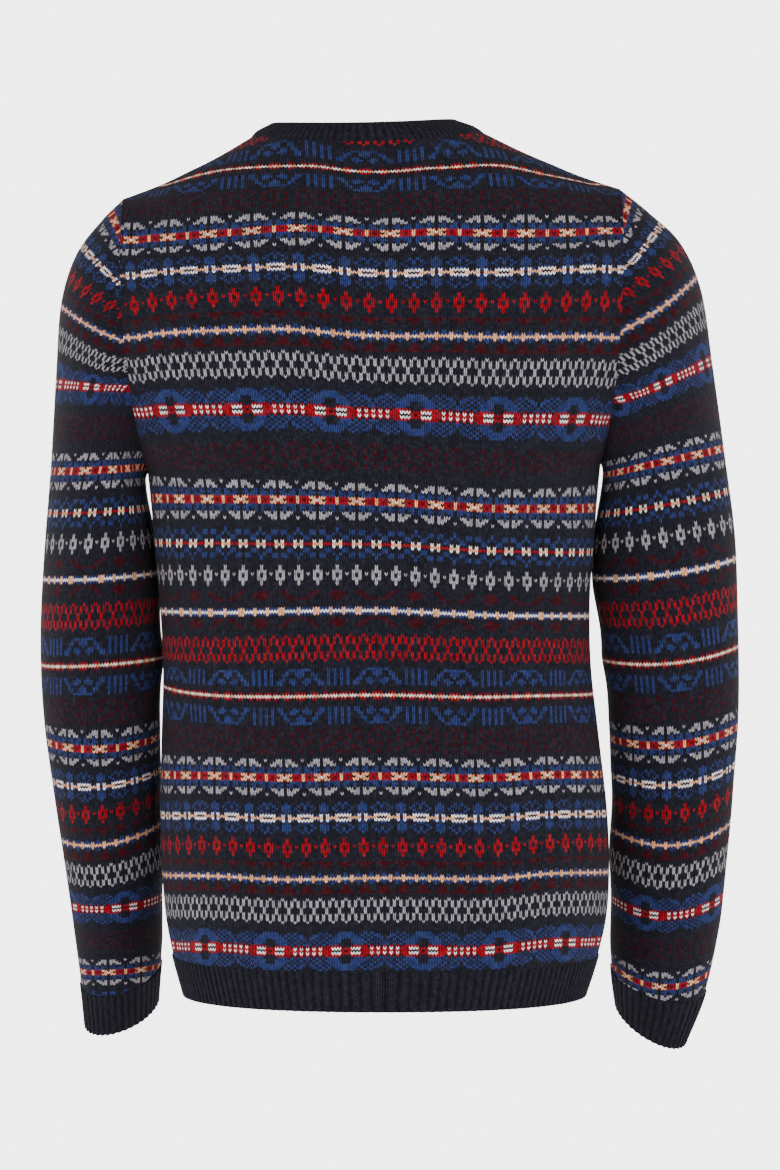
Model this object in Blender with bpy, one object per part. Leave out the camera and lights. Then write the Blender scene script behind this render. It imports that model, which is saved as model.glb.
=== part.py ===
"""A crew-neck fair isle jumper in the form it takes when it is worn, with nobody in it.

The frame is in metres with +Z up. The wearer faces -Y, and the wearer's left is +X. The
origin is level with the top of the shoulders, in the middle of the neck opening.

The jumper is knitted as a back, a front and two sleeves, each with its rib, and a
neckband. Each of these is one closed wall of cloth, and seams are left 0.3 mm open.
"""

import math
from collections import namedtuple

import bmesh
import bpy
from mathutils import Vector

# Cloth and seams
WALL = 0.0022                # knitted cloth with its floats
RIB_WALL = 0.0026            # ribbed cloth between two ribs
SEAM_GAP = 0.0003            # left open between two pieces at a seam
RIB_RISE = 0.0012            # how far a rib stands out of its wall
NECK_RIB_RISE = 0.00084

# Ribs round each edge
HEM_RIBS = 64                # on the back, and again on the front
CUFF_RIBS = 38
NECK_RIBS = 104
HEM_RIB_DEPTH = 0.0315       # height of the hem's rib

# Grid of the panels and sleeves
PANEL_COLUMNS = 20           # from side seam to side seam
BODY_ROWS = 9                # from the hem's rib to the underarm
ARMHOLE_ROWS = 12            # from the underarm to the shoulder tip
SHOULDER_ROWS = 4            # from the shoulder tip to the neck
SLEEVE_STEPS = 24            # round a sleeve, twice the rows of an armhole
SLEEVE_ROWS = 17             # from armhole to cuff

# Neck and shoulders
NECK_HALF_WIDTH = 0.091      # at the seam of the neckband
BACK_NECK_DEPTH = 0.062      # from the ridge of the shoulder to the back of the neck
FRONT_NECK_DEPTH = 0.086
BACK_NECK_DROP = 0.008
FRONT_NECK_DROP = 0.075
BAND_RISE = 0.0105           # of the neckband's top edge, at the shoulder
BAND_BACK_RISE = 0.0150
BAND_FRONT_RISE = 0.015
BAND_LEAN = 0.0195           # of the neckband's top edge inwards, at the shoulder
BAND_BACK_LEAN = 0.007
BAND_FRONT_LEAN = 0.012
NECK_SEAM_FALL = -0.9        # how steeply the walls lie at the neck's seam, inwards and down
SHOULDER_PITCH = math.radians(24.0)
SHOULDER_ROUNDING = 3.0      # rows of a panel over which its shoulders are rounded
SHOULDER_SAG = 0.0035        # of the shoulder seam below a straight line

NUDGE = 1e-4                 # step for measuring how a surface faces
SIDE_FADE = 8                # power by which folds and rounding fade at a panel's sides
QUARTERS = 4.0               # the neckband is laid out in quarter turns

# Sections of the body: height, sideways lean of its middle, reach from the middle, and
# how full it is, where less than 1 is squarer than an ellipse and more than 1 is leaner
Section = namedtuple("Section", "height middle half_width back front fullness")
BODY = (
    Section(-0.6780, -0.0108, 0.1588, 0.1080, 0.1120, 0.87),
    Section(-0.6465, -0.0115, 0.1680, 0.1125, 0.1165, 0.87),
    Section(-0.6150, -0.0120, 0.1745, 0.1165, 0.1195, 0.87),
    Section(-0.5750, -0.0115, 0.1770, 0.1175, 0.1205, 0.87),
    Section(-0.5300, -0.0100, 0.1765, 0.1160, 0.1190, 0.87),
    Section(-0.4700, -0.0070, 0.1725, 0.1120, 0.1170, 0.87),
    Section(-0.4200, -0.0048, 0.1690, 0.1100, 0.1160, 0.87),
    Section(-0.3700, -0.0032, 0.1695, 0.1120, 0.1180, 0.87),
    Section(-0.3300, -0.0028, 0.1725, 0.1150, 0.1210, 0.87),
    Section(-0.2615, -0.0025, 0.1785, 0.1190, 0.1240, 0.87),
    Section(-0.2100, -0.0020, 0.1860, 0.1210, 0.1220, 0.87),
    Section(-0.1550, -0.0013, 0.1930, 0.1190, 0.1165, 0.89),
    Section(-0.1000, -0.0008, 0.1950, 0.1120, 0.1090, 0.98),
    Section(-0.0460, -0.0004, 0.1950, 0.0970, 0.0990, 1.15),
    Section(0.0000, 0.0030, 0.0910, 0.0620, 0.0860, 0.87),
    Section(0.0150, 0.0075, 0.0715, 0.0550, 0.0740, 0.87),
)

NECK_FULLNESS = BODY[-2].fullness

# Rings of a sleeve, from the armhole to the end of the cuff. A ring is given by its outer
# and inner points seen from behind, its half depth and middle front to back, the angle by
# which its back edge dips as the arm comes forward, and how far its sides bow outwards.
Ring = namedtuple("Ring", "outer_x outer_z inner_x inner_z half_depth middle_y dip bow")
ARMHOLE = Ring(0.1950, -0.0460, 0.1785, -0.2615, 0.0660, 0.000, 0.0, 0.0055)
LEFT_SLEEVE = (
    ARMHOLE,
    Ring(0.2120, -0.0620, 0.1803, -0.2665, 0.0680, -0.001, 0.0, 0.0045),
    Ring(0.2325, -0.0880, 0.1803, -0.2740, 0.0695, -0.005, 0.0, 0.0030),
    Ring(0.2455, -0.1260, 0.1790, -0.2860, 0.0700, -0.011, 0.0, 0.0010),
    Ring(0.2510, -0.1820, 0.1760, -0.3030, 0.0690, -0.018, 1.0, 0.0000),
    Ring(0.2565, -0.2520, 0.1728, -0.3230, 0.0675, -0.024, 2.0, 0.0000),
    Ring(0.2630, -0.3260, 0.1700, -0.3550, 0.0655, -0.027, 4.0, 0.0000),
    Ring(0.2675, -0.4000, 0.1690, -0.4050, 0.0620, -0.028, 6.0, 0.0000),
    Ring(0.2675, -0.4600, 0.1730, -0.4600, 0.0580, -0.030, 10.0, 0.0000),
    Ring(0.2635, -0.5200, 0.1760, -0.5150, 0.0535, -0.036, 14.0, 0.0000),
    Ring(0.2577, -0.5800, 0.1775, -0.5700, 0.0480, -0.047, 18.0, 0.0000),
    Ring(0.2515, -0.6350, 0.1790, -0.6230, 0.0415, -0.061, 22.0, 0.0000),
    Ring(0.2463, -0.6790, 0.1820, -0.6640, 0.0350, -0.077, 24.0, 0.0000),
    Ring(0.2440, -0.7160, 0.1850, -0.6970, 0.0300, -0.094, 25.0, 0.0000),
)
RIGHT_SLEEVE = (
    ARMHOLE,
    Ring(0.2180, -0.0650, 0.1803, -0.2665, 0.0680, -0.001, 0.0, 0.0045),
    Ring(0.2435, -0.0900, 0.1803, -0.2740, 0.0690, -0.005, 0.0, 0.0030),
    Ring(0.2600, -0.1280, 0.1790, -0.2860, 0.0680, -0.011, 0.0, 0.0010),
    Ring(0.2690, -0.1880, 0.1760, -0.3050, 0.0640, -0.017, 1.0, 0.0000),
    Ring(0.2780, -0.2550, 0.1724, -0.3280, 0.0600, -0.022, 2.0, 0.0000),
    Ring(0.2870, -0.3260, 0.1722, -0.3600, 0.0570, -0.025, 4.0, 0.0000),
    Ring(0.2885, -0.4000, 0.1780, -0.4100, 0.0540, -0.027, 6.0, 0.0000),
    Ring(0.2865, -0.4600, 0.1808, -0.4600, 0.0520, -0.030, 10.0, 0.0000),
    Ring(0.2800, -0.5200, 0.1812, -0.5150, 0.0490, -0.036, 14.0, 0.0000),
    Ring(0.2735, -0.5800, 0.1790, -0.5700, 0.0450, -0.046, 18.0, 0.0000),
    Ring(0.2685, -0.6350, 0.1795, -0.6230, 0.0400, -0.061, 22.0, 0.0000),
    Ring(0.2600, -0.6850, 0.1835, -0.6670, 0.0345, -0.077, 24.0, 0.0000),
    Ring(0.2450, -0.7290, 0.1885, -0.7010, 0.0295, -0.094, 25.0, 0.0000),
)
CUFF_START = len(LEFT_SLEEVE) - 2    # the ring at which the sleeve becomes its cuff

# The shoulders lean a little to the wearer's right, which lifts that side
LEAN = 0.0200                # rise for each metre across
LEAN_STARTS = -0.60
LEAN_IS_FULL = -0.28

# Broad folds of the cloth, as troughs along lines seen from the back or the front
Fold = namedtuple("Fold", "face x_start z_start x_end z_end reach depth")
FOLDS = (
    Fold("back", 0.165, -0.275, 0.075, -0.345, 0.020, 0.0035),
    Fold("back", -0.168, -0.270, -0.085, -0.350, 0.020, 0.0040),
    Fold("back", 0.150, -0.470, 0.060, -0.520, 0.024, 0.0030),
    Fold("back", -0.150, -0.455, -0.050, -0.500, 0.024, 0.0030),
    Fold("front", 0.165, -0.280, 0.070, -0.330, 0.020, 0.0040),
    Fold("front", -0.165, -0.275, -0.070, -0.340, 0.020, 0.0035),
    Fold("front", 0.150, -0.500, 0.040, -0.540, 0.024, 0.0030),
    Fold("front", -0.150, -0.480, -0.060, -0.535, 0.024, 0.0030),
)
# Folds across a sleeve: its ring, the angle round the sleeve from its outer side, and size
Crease = namedtuple("Crease", "ring angle reach_rings reach_angle depth")
CREASES = (
    Crease(4.6, 110.0, 0.7, 38.0, 0.0035),
    Crease(6.6, 205.0, 0.6, 40.0, 0.0035),
    Crease(7.7, 215.0, 0.6, 45.0, 0.0040),
    Crease(9.2, 210.0, 0.6, 42.0, 0.0030),
    Crease(10.7, 160.0, 0.5, 48.0, 0.0025),
)

# Colour, roughness and metallic value of each knitted cloth
Finish = namedtuple("Finish", "red green blue roughness metallic")
PATTERNED = Finish(0.035, 0.03, 0.07, 0.92, 0.0)
RIBBED = Finish(0.016, 0.018, 0.032, 0.94, 0.0)


def smoothstep(low, high, value):
    """Rise from 0 at low to 1 at high with level ends."""
    share = min(max((value - low) / (high - low), 0.0), 1.0)
    return share * share * (3.0 - 2.0 * share)


def slope_at(keys, values, index):
    """Slope of a smooth curve through a table at one of its rows."""
    low = max(index - 1, 0)
    high = min(index + 1, len(keys) - 1)
    return (values[high] - values[low]) / (keys[high] - keys[low])


def smooth_between(keys, values, wanted):
    """Read a table as one smooth curve that passes through its rows."""
    wanted = min(max(wanted, keys[0]), keys[-1])
    index = 0
    while index < len(keys) - 2 and wanted > keys[index + 1]:
        index += 1
    span = keys[index + 1] - keys[index]
    share = (wanted - keys[index]) / span
    start_slope = slope_at(keys, values, index) * span
    end_slope = slope_at(keys, values, index + 1) * span
    square = share * share
    cube = square * share
    return (
        (2 * cube - 3 * square + 1) * values[index]
        + (cube - 2 * square + share) * start_slope
        + (3 * square - 2 * cube) * values[index + 1]
        + (cube - square) * end_slope
    )


def section_at(height):
    """The body's section at a height."""
    keys = [row.height for row in BODY]
    columns = zip(*BODY)
    return Section(*(smooth_between(keys, column, height) for column in columns))


def ring_at(sleeve, place):
    """A sleeve's ring at a place between the rows of its table."""
    keys = range(len(sleeve))
    columns = zip(*sleeve)
    return Ring(*(smooth_between(keys, column, place) for column in columns))


def ring_point(ring, angle):
    """A point of a ring, at an angle from its outer side round by the back."""
    outer = Vector((ring.outer_x, 0.0, ring.outer_z))
    inner = Vector((ring.inner_x, 0.0, ring.inner_z))
    dip = math.radians(ring.dip)
    across = (outer - inner) / 2.0
    backward = Vector((0.0, math.cos(dip), -math.sin(dip))) * ring.half_depth
    bow = Vector((ring.bow * math.sin(angle) ** 2, ring.middle_y, 0.0))
    middle = (outer + inner) / 2.0 + bow
    return middle + across * math.cos(angle) + backward * math.sin(angle)


def lean(point):
    """Lean the upright garment as it hangs: its middle wanders and its shoulders tilt."""
    tilt = LEAN * smoothstep(LEAN_STARTS, LEAN_IS_FULL, point.z)
    shifted = point.x + section_at(point.z).middle
    return Vector((shifted, point.y, point.z - tilt * point.x))


def armhole_angle(row):
    """Angle on the armhole of one of its rows, from the underarm up to the tip."""
    return math.pi * (1.0 - row / ARMHOLE_ROWS)


def armhole_inward(angle, towards_sleeve):
    """Which way the wall lies at the armhole's seam: -1 for the body, 1 for a sleeve."""
    turned = smoothstep(math.pi / 2.0, math.pi, angle)
    down = -math.cos(angle) * (1.0 - turned)
    return Vector((towards_sleeve * turned, -math.sin(angle), down)).normalized()


class Panel:
    """The back or the front: rows from the hem's rib to the neck, folded round the sides."""

    def __init__(self, face):
        self.face = face
        self.out = 1.0 if face == "back" else -1.0
        self.neck_drop = BACK_NECK_DROP if face == "back" else FRONT_NECK_DROP
        self.rows = BODY_ROWS + ARMHOLE_ROWS + SHOULDER_ROWS
        self.folds = [fold for fold in FOLDS if fold.face == face]

    def edge(self, row):
        """The end of a row on the wearer's left: side seam, armhole or shoulder seam."""
        rib_top = BODY[1].height
        underarm = ARMHOLE.inner_z
        if row <= BODY_ROWS:
            height = rib_top + (underarm - rib_top) * row / BODY_ROWS
            return Vector((section_at(height).half_width, 0.0, height))
        if row <= BODY_ROWS + ARMHOLE_ROWS:
            point = ring_point(ARMHOLE, armhole_angle(row - BODY_ROWS))
            return Vector((point.x, abs(point.y), point.z))
        share = (row - BODY_ROWS - ARMHOLE_ROWS) / SHOULDER_ROWS
        tip = Vector((ARMHOLE.outer_x, 0.0, ARMHOLE.outer_z))
        sag = Vector((0.0, 0.0, SHOULDER_SAG * math.sin(share * math.pi)))
        return tip.lerp(Vector((NECK_HALF_WIDTH, 0.0, 0.0)), share) - sag

    def folded(self, x, z):
        """How deep the broad folds are at a place on the panel."""
        depth = 0.0
        for fold in self.folds:
            start = Vector((fold.x_start, fold.z_start))
            end = Vector((fold.x_end, fold.z_end))
            along = end - start
            share = (Vector((x, z)) - start).dot(along) / along.length_squared
            nearest = start + along * min(max(share, 0.0), 1.0)
            apart = (Vector((x, z)) - nearest).length / fold.reach
            depth += fold.depth * math.exp(-apart * apart)
        return depth

    def point(self, across, row):
        """A point of the outer face: across from -1 to 1, row from the rib to the neck."""
        point = self.sliced(across, row)
        span = min(SHOULDER_ROUNDING, self.rows - row, row - BODY_ROWS - ARMHOLE_ROWS / 2.0)
        if span <= 0.0:
            return point
        below = self.sliced(across, row - span)
        above = self.sliced(across, row + span)
        rounded = (below + point * 2.0 + above) / 4.0
        return rounded.lerp(point, abs(across) ** SIDE_FADE)

    def sliced(self, across, row):
        """A point of the outer face before the top of the shoulders is rounded."""
        end = self.edge(row)
        side = 1.0 if across >= 0.0 else -1.0
        section = section_at(end.z)
        reach = section.back if self.face == "back" else section.front
        last = math.acos(min(end.y / reach, 1.0) ** (1.0 / section.fullness))
        angle = abs(across) * last
        wide = (math.sin(angle) / math.sin(last)) ** section.fullness
        deep = math.cos(angle) ** section.fullness if abs(across) < 1.0 else end.y / reach
        climb = smoothstep(ARMHOLE.inner_z, 0.0, end.z) if row > BODY_ROWS else 0.0
        x = side * end.x * wide
        z = end.z - self.neck_drop * climb * math.cos(across * math.pi / 2.0) ** 2
        fold = self.folded(x, z) * (1.0 - abs(across) ** SIDE_FADE)
        return Vector((x, self.out * (reach * deep - fold), z))

    def inward(self, across, row):
        """Which way the wall lies: shared at a seam, and square to the cloth elsewhere."""
        side = 1.0 if across >= 0.0 else -1.0
        at_side = abs(across) > 1.0 - NUDGE
        if at_side and row <= BODY_ROWS:
            return Vector((-side, 0.0, 0.0))
        if at_side and row <= BODY_ROWS + ARMHOLE_ROWS:
            way = armhole_inward(armhole_angle(row - BODY_ROWS), -1.0)
            return Vector((way.x * side, way.y * self.out, way.z))
        if at_side and row < self.rows:
            return Vector((-side * math.sin(SHOULDER_PITCH), 0.0, -math.cos(SHOULDER_PITCH)))
        if row > self.rows - NUDGE:
            return neck_inward(across, self.out)
        left = self.point(max(across - NUDGE, -1.0), row)
        right = self.point(min(across + NUDGE, 1.0), row)
        below = self.point(across, max(row - NUDGE, 0.0))
        above = self.point(across, min(row + NUDGE, self.rows))
        way = (right - left).cross(above - below) * self.out
        if row < NUDGE:
            way.z = 0.0
        return way.normalized()


def neck_point(across, out):
    """The seam between a panel and the neckband, as the panel's own corners draw it."""
    panel = PANELS[out]
    place = (across + 1.0) * PANEL_COLUMNS / 2.0
    column = min(int(place), PANEL_COLUMNS - 1)
    start = panel.point(column * 2.0 / PANEL_COLUMNS - 1.0, panel.rows)
    end = panel.point((column + 1) * 2.0 / PANEL_COLUMNS - 1.0, panel.rows)
    return start.lerp(end, place - column)


def neck_inward(across, out):
    """Which way the walls lie at the neck's seam: to the neck's middle and down."""
    angle = across * math.pi / 2.0
    return Vector((-math.sin(angle), -out * math.cos(angle), NECK_SEAM_FALL)).normalized()


PANELS = {1.0: Panel("back"), -1.0: Panel("front")}


def make_material(name, finish):
    """A Principled material of one finish."""
    material = bpy.data.materials.new(name)
    material.use_nodes = True
    shader = material.node_tree.nodes["Principled BSDF"]
    shader.inputs["Base Color"].default_value = (finish.red, finish.green, finish.blue, 1.0)
    shader.inputs["Roughness"].default_value = finish.roughness
    shader.inputs["Metallic"].default_value = finish.metallic
    return material


def finish_wall(bm, name, finish):
    """Turn a closed wall of cloth into a named object."""
    bmesh.ops.recalc_face_normals(bm, faces=bm.faces[:])
    mesh = bpy.data.meshes.new(name)
    bm.to_mesh(mesh)
    bm.free()
    mesh.shade_smooth()
    mesh.set_sharp_from_angle(angle=math.radians(50.0))
    mesh.materials.append(make_material(name + "_knit", finish))
    wall = bpy.data.objects.new(name, mesh)
    bpy.context.scene.collection.objects.link(wall)
    return wall


def double_wall(bm):
    """Give a sheet its inner layer, joined round the edges, and return both layers."""
    outer = bm.verts[:]
    made = bmesh.ops.extrude_face_region(bm, geom=bm.faces[:], use_keep_orig=True)
    inner = [item for item in made["geom"] if isinstance(item, bmesh.types.BMVert)]
    return outer, inner


def sheet_wall(name, finish, columns, rows, place):
    """A wall on a rectangle of cloth: place(across, row, inner) gives each point."""
    bm = bmesh.new()
    bmesh.ops.create_grid(bm, x_segments=columns, y_segments=rows, size=1.0)
    outer, inner = double_wall(bm)
    for layer, is_inner in ((outer, False), (inner, True)):
        for vertex in layer:
            across = round((vertex.co.x + 1.0) * columns / 2.0) * 2.0 / columns - 1.0
            row = round((vertex.co.y + 1.0) * rows / 2.0)
            vertex.co = place(across, row, is_inner)
    return finish_wall(bm, name, finish)


def tube_wall(name, finish, steps, rows, place):
    """A wall on a tube of cloth: place(angle, row, inner) gives each point."""
    bm = bmesh.new()
    bmesh.ops.create_cone(bm, cap_ends=False, segments=steps, radius1=1.0, radius2=1.0, depth=2.0)
    uprights = [edge for edge in bm.edges if abs(edge.verts[0].co.z - edge.verts[1].co.z) > 1.0]
    if rows > 1:
        bmesh.ops.subdivide_edges(bm, edges=uprights, cuts=rows - 1, use_grid_fill=False)
    outer, inner = double_wall(bm)
    for layer, is_inner in ((outer, False), (inner, True)):
        for vertex in layer:
            turn = math.atan2(vertex.co.y, vertex.co.x) / (2.0 * math.pi)
            step = round(turn * steps) % steps
            row = round((vertex.co.z + 1.0) * rows / 2.0)
            vertex.co = place(step, row, is_inner)
    return finish_wall(bm, name, finish)


def make_panel(face):
    """The back or the front, from the hem's rib to the neck."""
    out = 1.0 if face == "back" else -1.0
    panel = PANELS[out]
    seam = Vector((0.0, out * SEAM_GAP / 2.0, 0.0))

    def place(across, row, is_inner):
        point = panel.point(across, row)
        if is_inner:
            point = point + panel.inward(across, row) * WALL
        return lean(point + seam)

    sheet_wall(face + "_panel", PATTERNED, PANEL_COLUMNS, panel.rows, place)


def make_hem_rib(face):
    """The rib below the back or the front, with its upright ribs raised outside."""
    out = 1.0 if face == "back" else -1.0
    columns = HEM_RIBS * 2
    rows = 2
    top = BODY[1].height
    seam = Vector((0.0, out * SEAM_GAP / 2.0, -SEAM_GAP))

    def place(across, row, is_inner):
        height = top - HEM_RIB_DEPTH * (1.0 - row / rows)
        section = section_at(height)
        reach = section.back if face == "back" else section.front
        angle = across * math.pi / 2.0
        side = 1.0 if across >= 0.0 else -1.0
        wide = side * abs(math.sin(angle)) ** section.fullness
        deep = math.cos(angle) ** section.fullness if abs(across) < 1.0 else 0.0
        point = Vector((section.half_width * wide, out * reach * deep, height))
        column = round((across + 1.0) * columns / 2.0)
        facing = Vector((math.sin(angle) * reach, out * math.cos(angle) * section.half_width, 0.0))
        if abs(across) == 1.0:
            facing = Vector((side, 0.0, 0.0))
        facing.normalize()
        if is_inner:
            return lean(point - facing * RIB_WALL + seam)
        return lean(point + facing * RIB_RISE * (column % 2) + seam)

    sheet_wall(face + "_hem_rib", RIBBED, columns, rows, place)


def creased(place, angle):
    """How deep the folds of a sleeve are at a place on it."""
    depth = 0.0
    for crease in CREASES:
        along = (place - crease.ring) / crease.reach_rings
        turn = (math.degrees(angle) - crease.angle + 180.0) % 360.0 - 180.0
        around = turn / crease.reach_angle
        depth += crease.depth * math.exp(-along * along - around * around)
    return depth


def sleeve_point(rings, place, angle):
    """A point of a sleeve's outer face."""
    ring = ring_at(rings, place)
    point = ring_point(ring, angle)
    middle = (ring_point(ring, 0.0) + ring_point(ring, math.pi)) / 2.0
    return point + (middle - point).normalized() * creased(place, angle)


def sleeve_inward(rings, place, angle):
    """Which way a sleeve's wall lies: square to the cloth, and in its plane at the ends."""
    if place < NUDGE:
        way = armhole_inward(abs((angle + math.pi) % (2.0 * math.pi) - math.pi), 1.0)
        return Vector((way.x, way.y if angle <= math.pi else -way.y, way.z))
    around = sleeve_point(rings, place, angle + NUDGE) - sleeve_point(rings, place, angle - NUDGE)
    last = len(rings) - 1
    up = sleeve_point(rings, max(place - NUDGE, 0.0), angle)
    down = sleeve_point(rings, min(place + NUDGE, last), angle)
    way = around.cross(down - up).normalized()
    square = ring_square(rings, place)
    if place > CUFF_START - NUDGE:
        way = way - square * way.dot(square)
    return way.normalized()


def ring_square(rings, place):
    """The direction square to a ring, down the sleeve."""
    outer = sleeve_point(rings, place, 0.0)
    back = sleeve_point(rings, place, math.pi / 2.0)
    inner = sleeve_point(rings, place, math.pi)
    return (back - inner).cross(outer - inner).normalized()


def mirrored(point, side):
    """The same point on the wearer's left (1) or right (-1)."""
    return Vector((point.x * side, point.y, point.z))


def make_sleeve(name, side, rings):
    """A sleeve from its armhole to its cuff."""
    seam = Vector((SEAM_GAP, 0.0, 0.0))

    def place(step, row, is_inner):
        angle = step * 2.0 * math.pi / SLEEVE_STEPS
        along = CUFF_START * row / SLEEVE_ROWS
        point = sleeve_point(rings, along, angle)
        if is_inner:
            point = point + sleeve_inward(rings, along, angle) * WALL
        return lean(mirrored(point + seam, side))

    tube_wall(name + "_sleeve", PATTERNED, SLEEVE_STEPS, SLEEVE_ROWS, place)


def make_cuff(name, side, rings):
    """The rib at the end of a sleeve, with its ribs raised outside."""
    rows = 2
    steps = CUFF_RIBS * 2
    seam = Vector((SEAM_GAP, 0.0, 0.0)) + ring_square(rings, CUFF_START) * SEAM_GAP

    def place(step, row, is_inner):
        angle = step * 2.0 * math.pi / steps
        along = CUFF_START + row / rows
        point = sleeve_point(rings, along, angle)
        way = sleeve_inward(rings, along, angle)
        depth = RIB_WALL if is_inner else -RIB_RISE * (step % 2)
        return lean(mirrored(point + way * depth + seam, side))

    tube_wall(name + "_cuff", RIBBED, steps, rows, place)


def make_neckband():
    """The ribbed band that stands round the neck opening."""
    steps = NECK_RIBS * 2
    rows = 1

    def top_point(across, out):
        angle = across * math.pi / 2.0
        middle = math.cos(angle) ** 2
        back_or_front_lean = BAND_BACK_LEAN if out > 0.0 else BAND_FRONT_LEAN
        back_or_front_rise = BAND_BACK_RISE if out > 0.0 else BAND_FRONT_RISE
        depth = BACK_NECK_DEPTH if out > 0.0 else FRONT_NECK_DEPTH
        drop = BACK_NECK_DROP if out > 0.0 else FRONT_NECK_DROP
        rise = BAND_RISE + (back_or_front_rise - BAND_RISE) * middle
        wide = math.copysign(abs(math.sin(angle)) ** NECK_FULLNESS, angle)
        deep = max(math.cos(angle), 0.0) ** NECK_FULLNESS
        x = (NECK_HALF_WIDTH - BAND_LEAN) * wide
        y = out * (depth - back_or_front_lean) * deep
        return Vector((x, y, rise - drop * middle))

    def place(step, row, is_inner):
        turn = step / steps * QUARTERS
        out = 1.0 if turn <= 2.0 else -1.0
        across = 1.0 - turn if turn <= 2.0 else turn - 3.0
        base = neck_point(across, out) + Vector((0.0, 0.0, SEAM_GAP))
        rim = top_point(across, out)
        share = row / rows
        point = base.lerp(rim, share)
        angle = across * math.pi / 2.0
        upright = Vector((-math.sin(angle), -out * math.cos(angle), 0.0))
        way = neck_inward(across, out).lerp(upright, share).normalized()
        depth = RIB_WALL if is_inner else -NECK_RIB_RISE * (step % 2)
        return lean(point + way * depth)

    tube_wall("neckband", RIBBED, steps, rows, place)


def main():
    """Clear the scene and make every piece of the jumper."""
    for leftover in list(bpy.data.objects):
        bpy.data.objects.remove(leftover)
    for face in ("back", "front"):
        make_panel(face)
        make_hem_rib(face)
    for name, side, rings in (("left", 1.0, LEFT_SLEEVE), ("right", -1.0, RIGHT_SLEEVE)):
        make_sleeve(name, side, rings)
        make_cuff(name, side, rings)
    make_neckband()


main()
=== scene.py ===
"""The looks of a crew-neck fair isle jumper, worn but with nobody in it.

Each knitted piece is a thin wall of cloth on its own grid, with the stitches counted across
and the rows counted up it. The fair isle bands are charted below, and the knit's material
looks each stitch up in the chart.
"""

import math
from collections import namedtuple

import bmesh
import bpy
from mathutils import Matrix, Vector


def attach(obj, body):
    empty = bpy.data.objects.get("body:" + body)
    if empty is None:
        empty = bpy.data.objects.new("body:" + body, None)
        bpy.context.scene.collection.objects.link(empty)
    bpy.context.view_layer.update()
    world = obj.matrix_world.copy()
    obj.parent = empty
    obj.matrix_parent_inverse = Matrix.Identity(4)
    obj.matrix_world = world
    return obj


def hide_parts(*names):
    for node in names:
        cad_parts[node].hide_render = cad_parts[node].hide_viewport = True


bl_info = {
    "name": "Fair Isle Jumper",
    "version": (1, 0, 0),
    "blender": (4, 5, 0),
    "location": "View3D > Sidebar > Jumper",
    "description": "Knits a fair isle jumper over its solid pieces",
    "category": "Object",
}

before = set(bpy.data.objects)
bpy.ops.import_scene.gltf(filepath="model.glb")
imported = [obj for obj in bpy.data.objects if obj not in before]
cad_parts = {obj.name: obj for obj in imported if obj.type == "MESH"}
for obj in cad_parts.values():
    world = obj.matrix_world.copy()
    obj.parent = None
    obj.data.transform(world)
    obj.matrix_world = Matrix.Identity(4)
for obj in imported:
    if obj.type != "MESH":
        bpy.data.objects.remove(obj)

GRID_MAP = "Knit"              # stitches across and rows up, one unit to each
BAKE_MAP = "OFBake"
NUDGE = 1e-4
EDGE_CROWDING = 0.5            # how much closer a mesh's columns are at its two sides
HEM_MESH_ROWS = 10
CUFF_MESH_ROWS = 12
NECK_MESH_ROWS = 8
SIDE_FADE = 8                  # power by which folds fade at a panel's sides
SHARP_ANGLE = math.radians(50.0)
NECK_HALF_WIDTH = 0.091
NECK_SEAM_FALL = -0.9          # how steeply the walls lie at the neck's seam, inwards and down
NECK_QUARTERS = 4.0            # the neckband is laid out in quarter turns
BAND_RISE = 0.0105             # of the neckband at the shoulders
BAND_MIDDLE_RISE = 0.0150      # and in the middle of the back and the front
BAND_LEAN = 0.0195             # how far in the neckband leans at the shoulders
BAND_BULGE = 0.0012
BULGE_RATE = 1.1               # the bulge is over a little before the neckband's rim
SEAM_RIB = 0.3                 # share of its rise that a rib has at the neck's seam
RIB_GROWTH = 2.0               # and how fast it gains the rest
HEM_RIB_DEPTH = 0.0315
SHOULDER_PITCH = math.radians(24.0)
SHOULDER_ROUNDING = 3.0
SHOULDER_SAG = 0.0035
LEAN = 0.0200
LEAN_STARTS = -0.60
LEAN_IS_FULL = -0.28
BODY_ROWS = 9
ARMHOLE_ROWS = 12
SHOULDER_ROWS = 4
PANEL_ROWS = BODY_ROWS + ARMHOLE_ROWS + SHOULDER_ROWS

# What the back and the front differ in: the way it looks, how far its neck lies from the
# shoulders' ridge and drops in the middle, how far in the neckband leans there, and the area
# of its cloth in square metres
Face = namedtuple("Face", "out neck_depth neck_drop band_lean area")
FACES = {
    "back": Face(1.0, 0.062, 0.008, 0.007, 0.296),
    "front": Face(-1.0, 0.086, 0.075, 0.012, 0.286),
}

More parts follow.
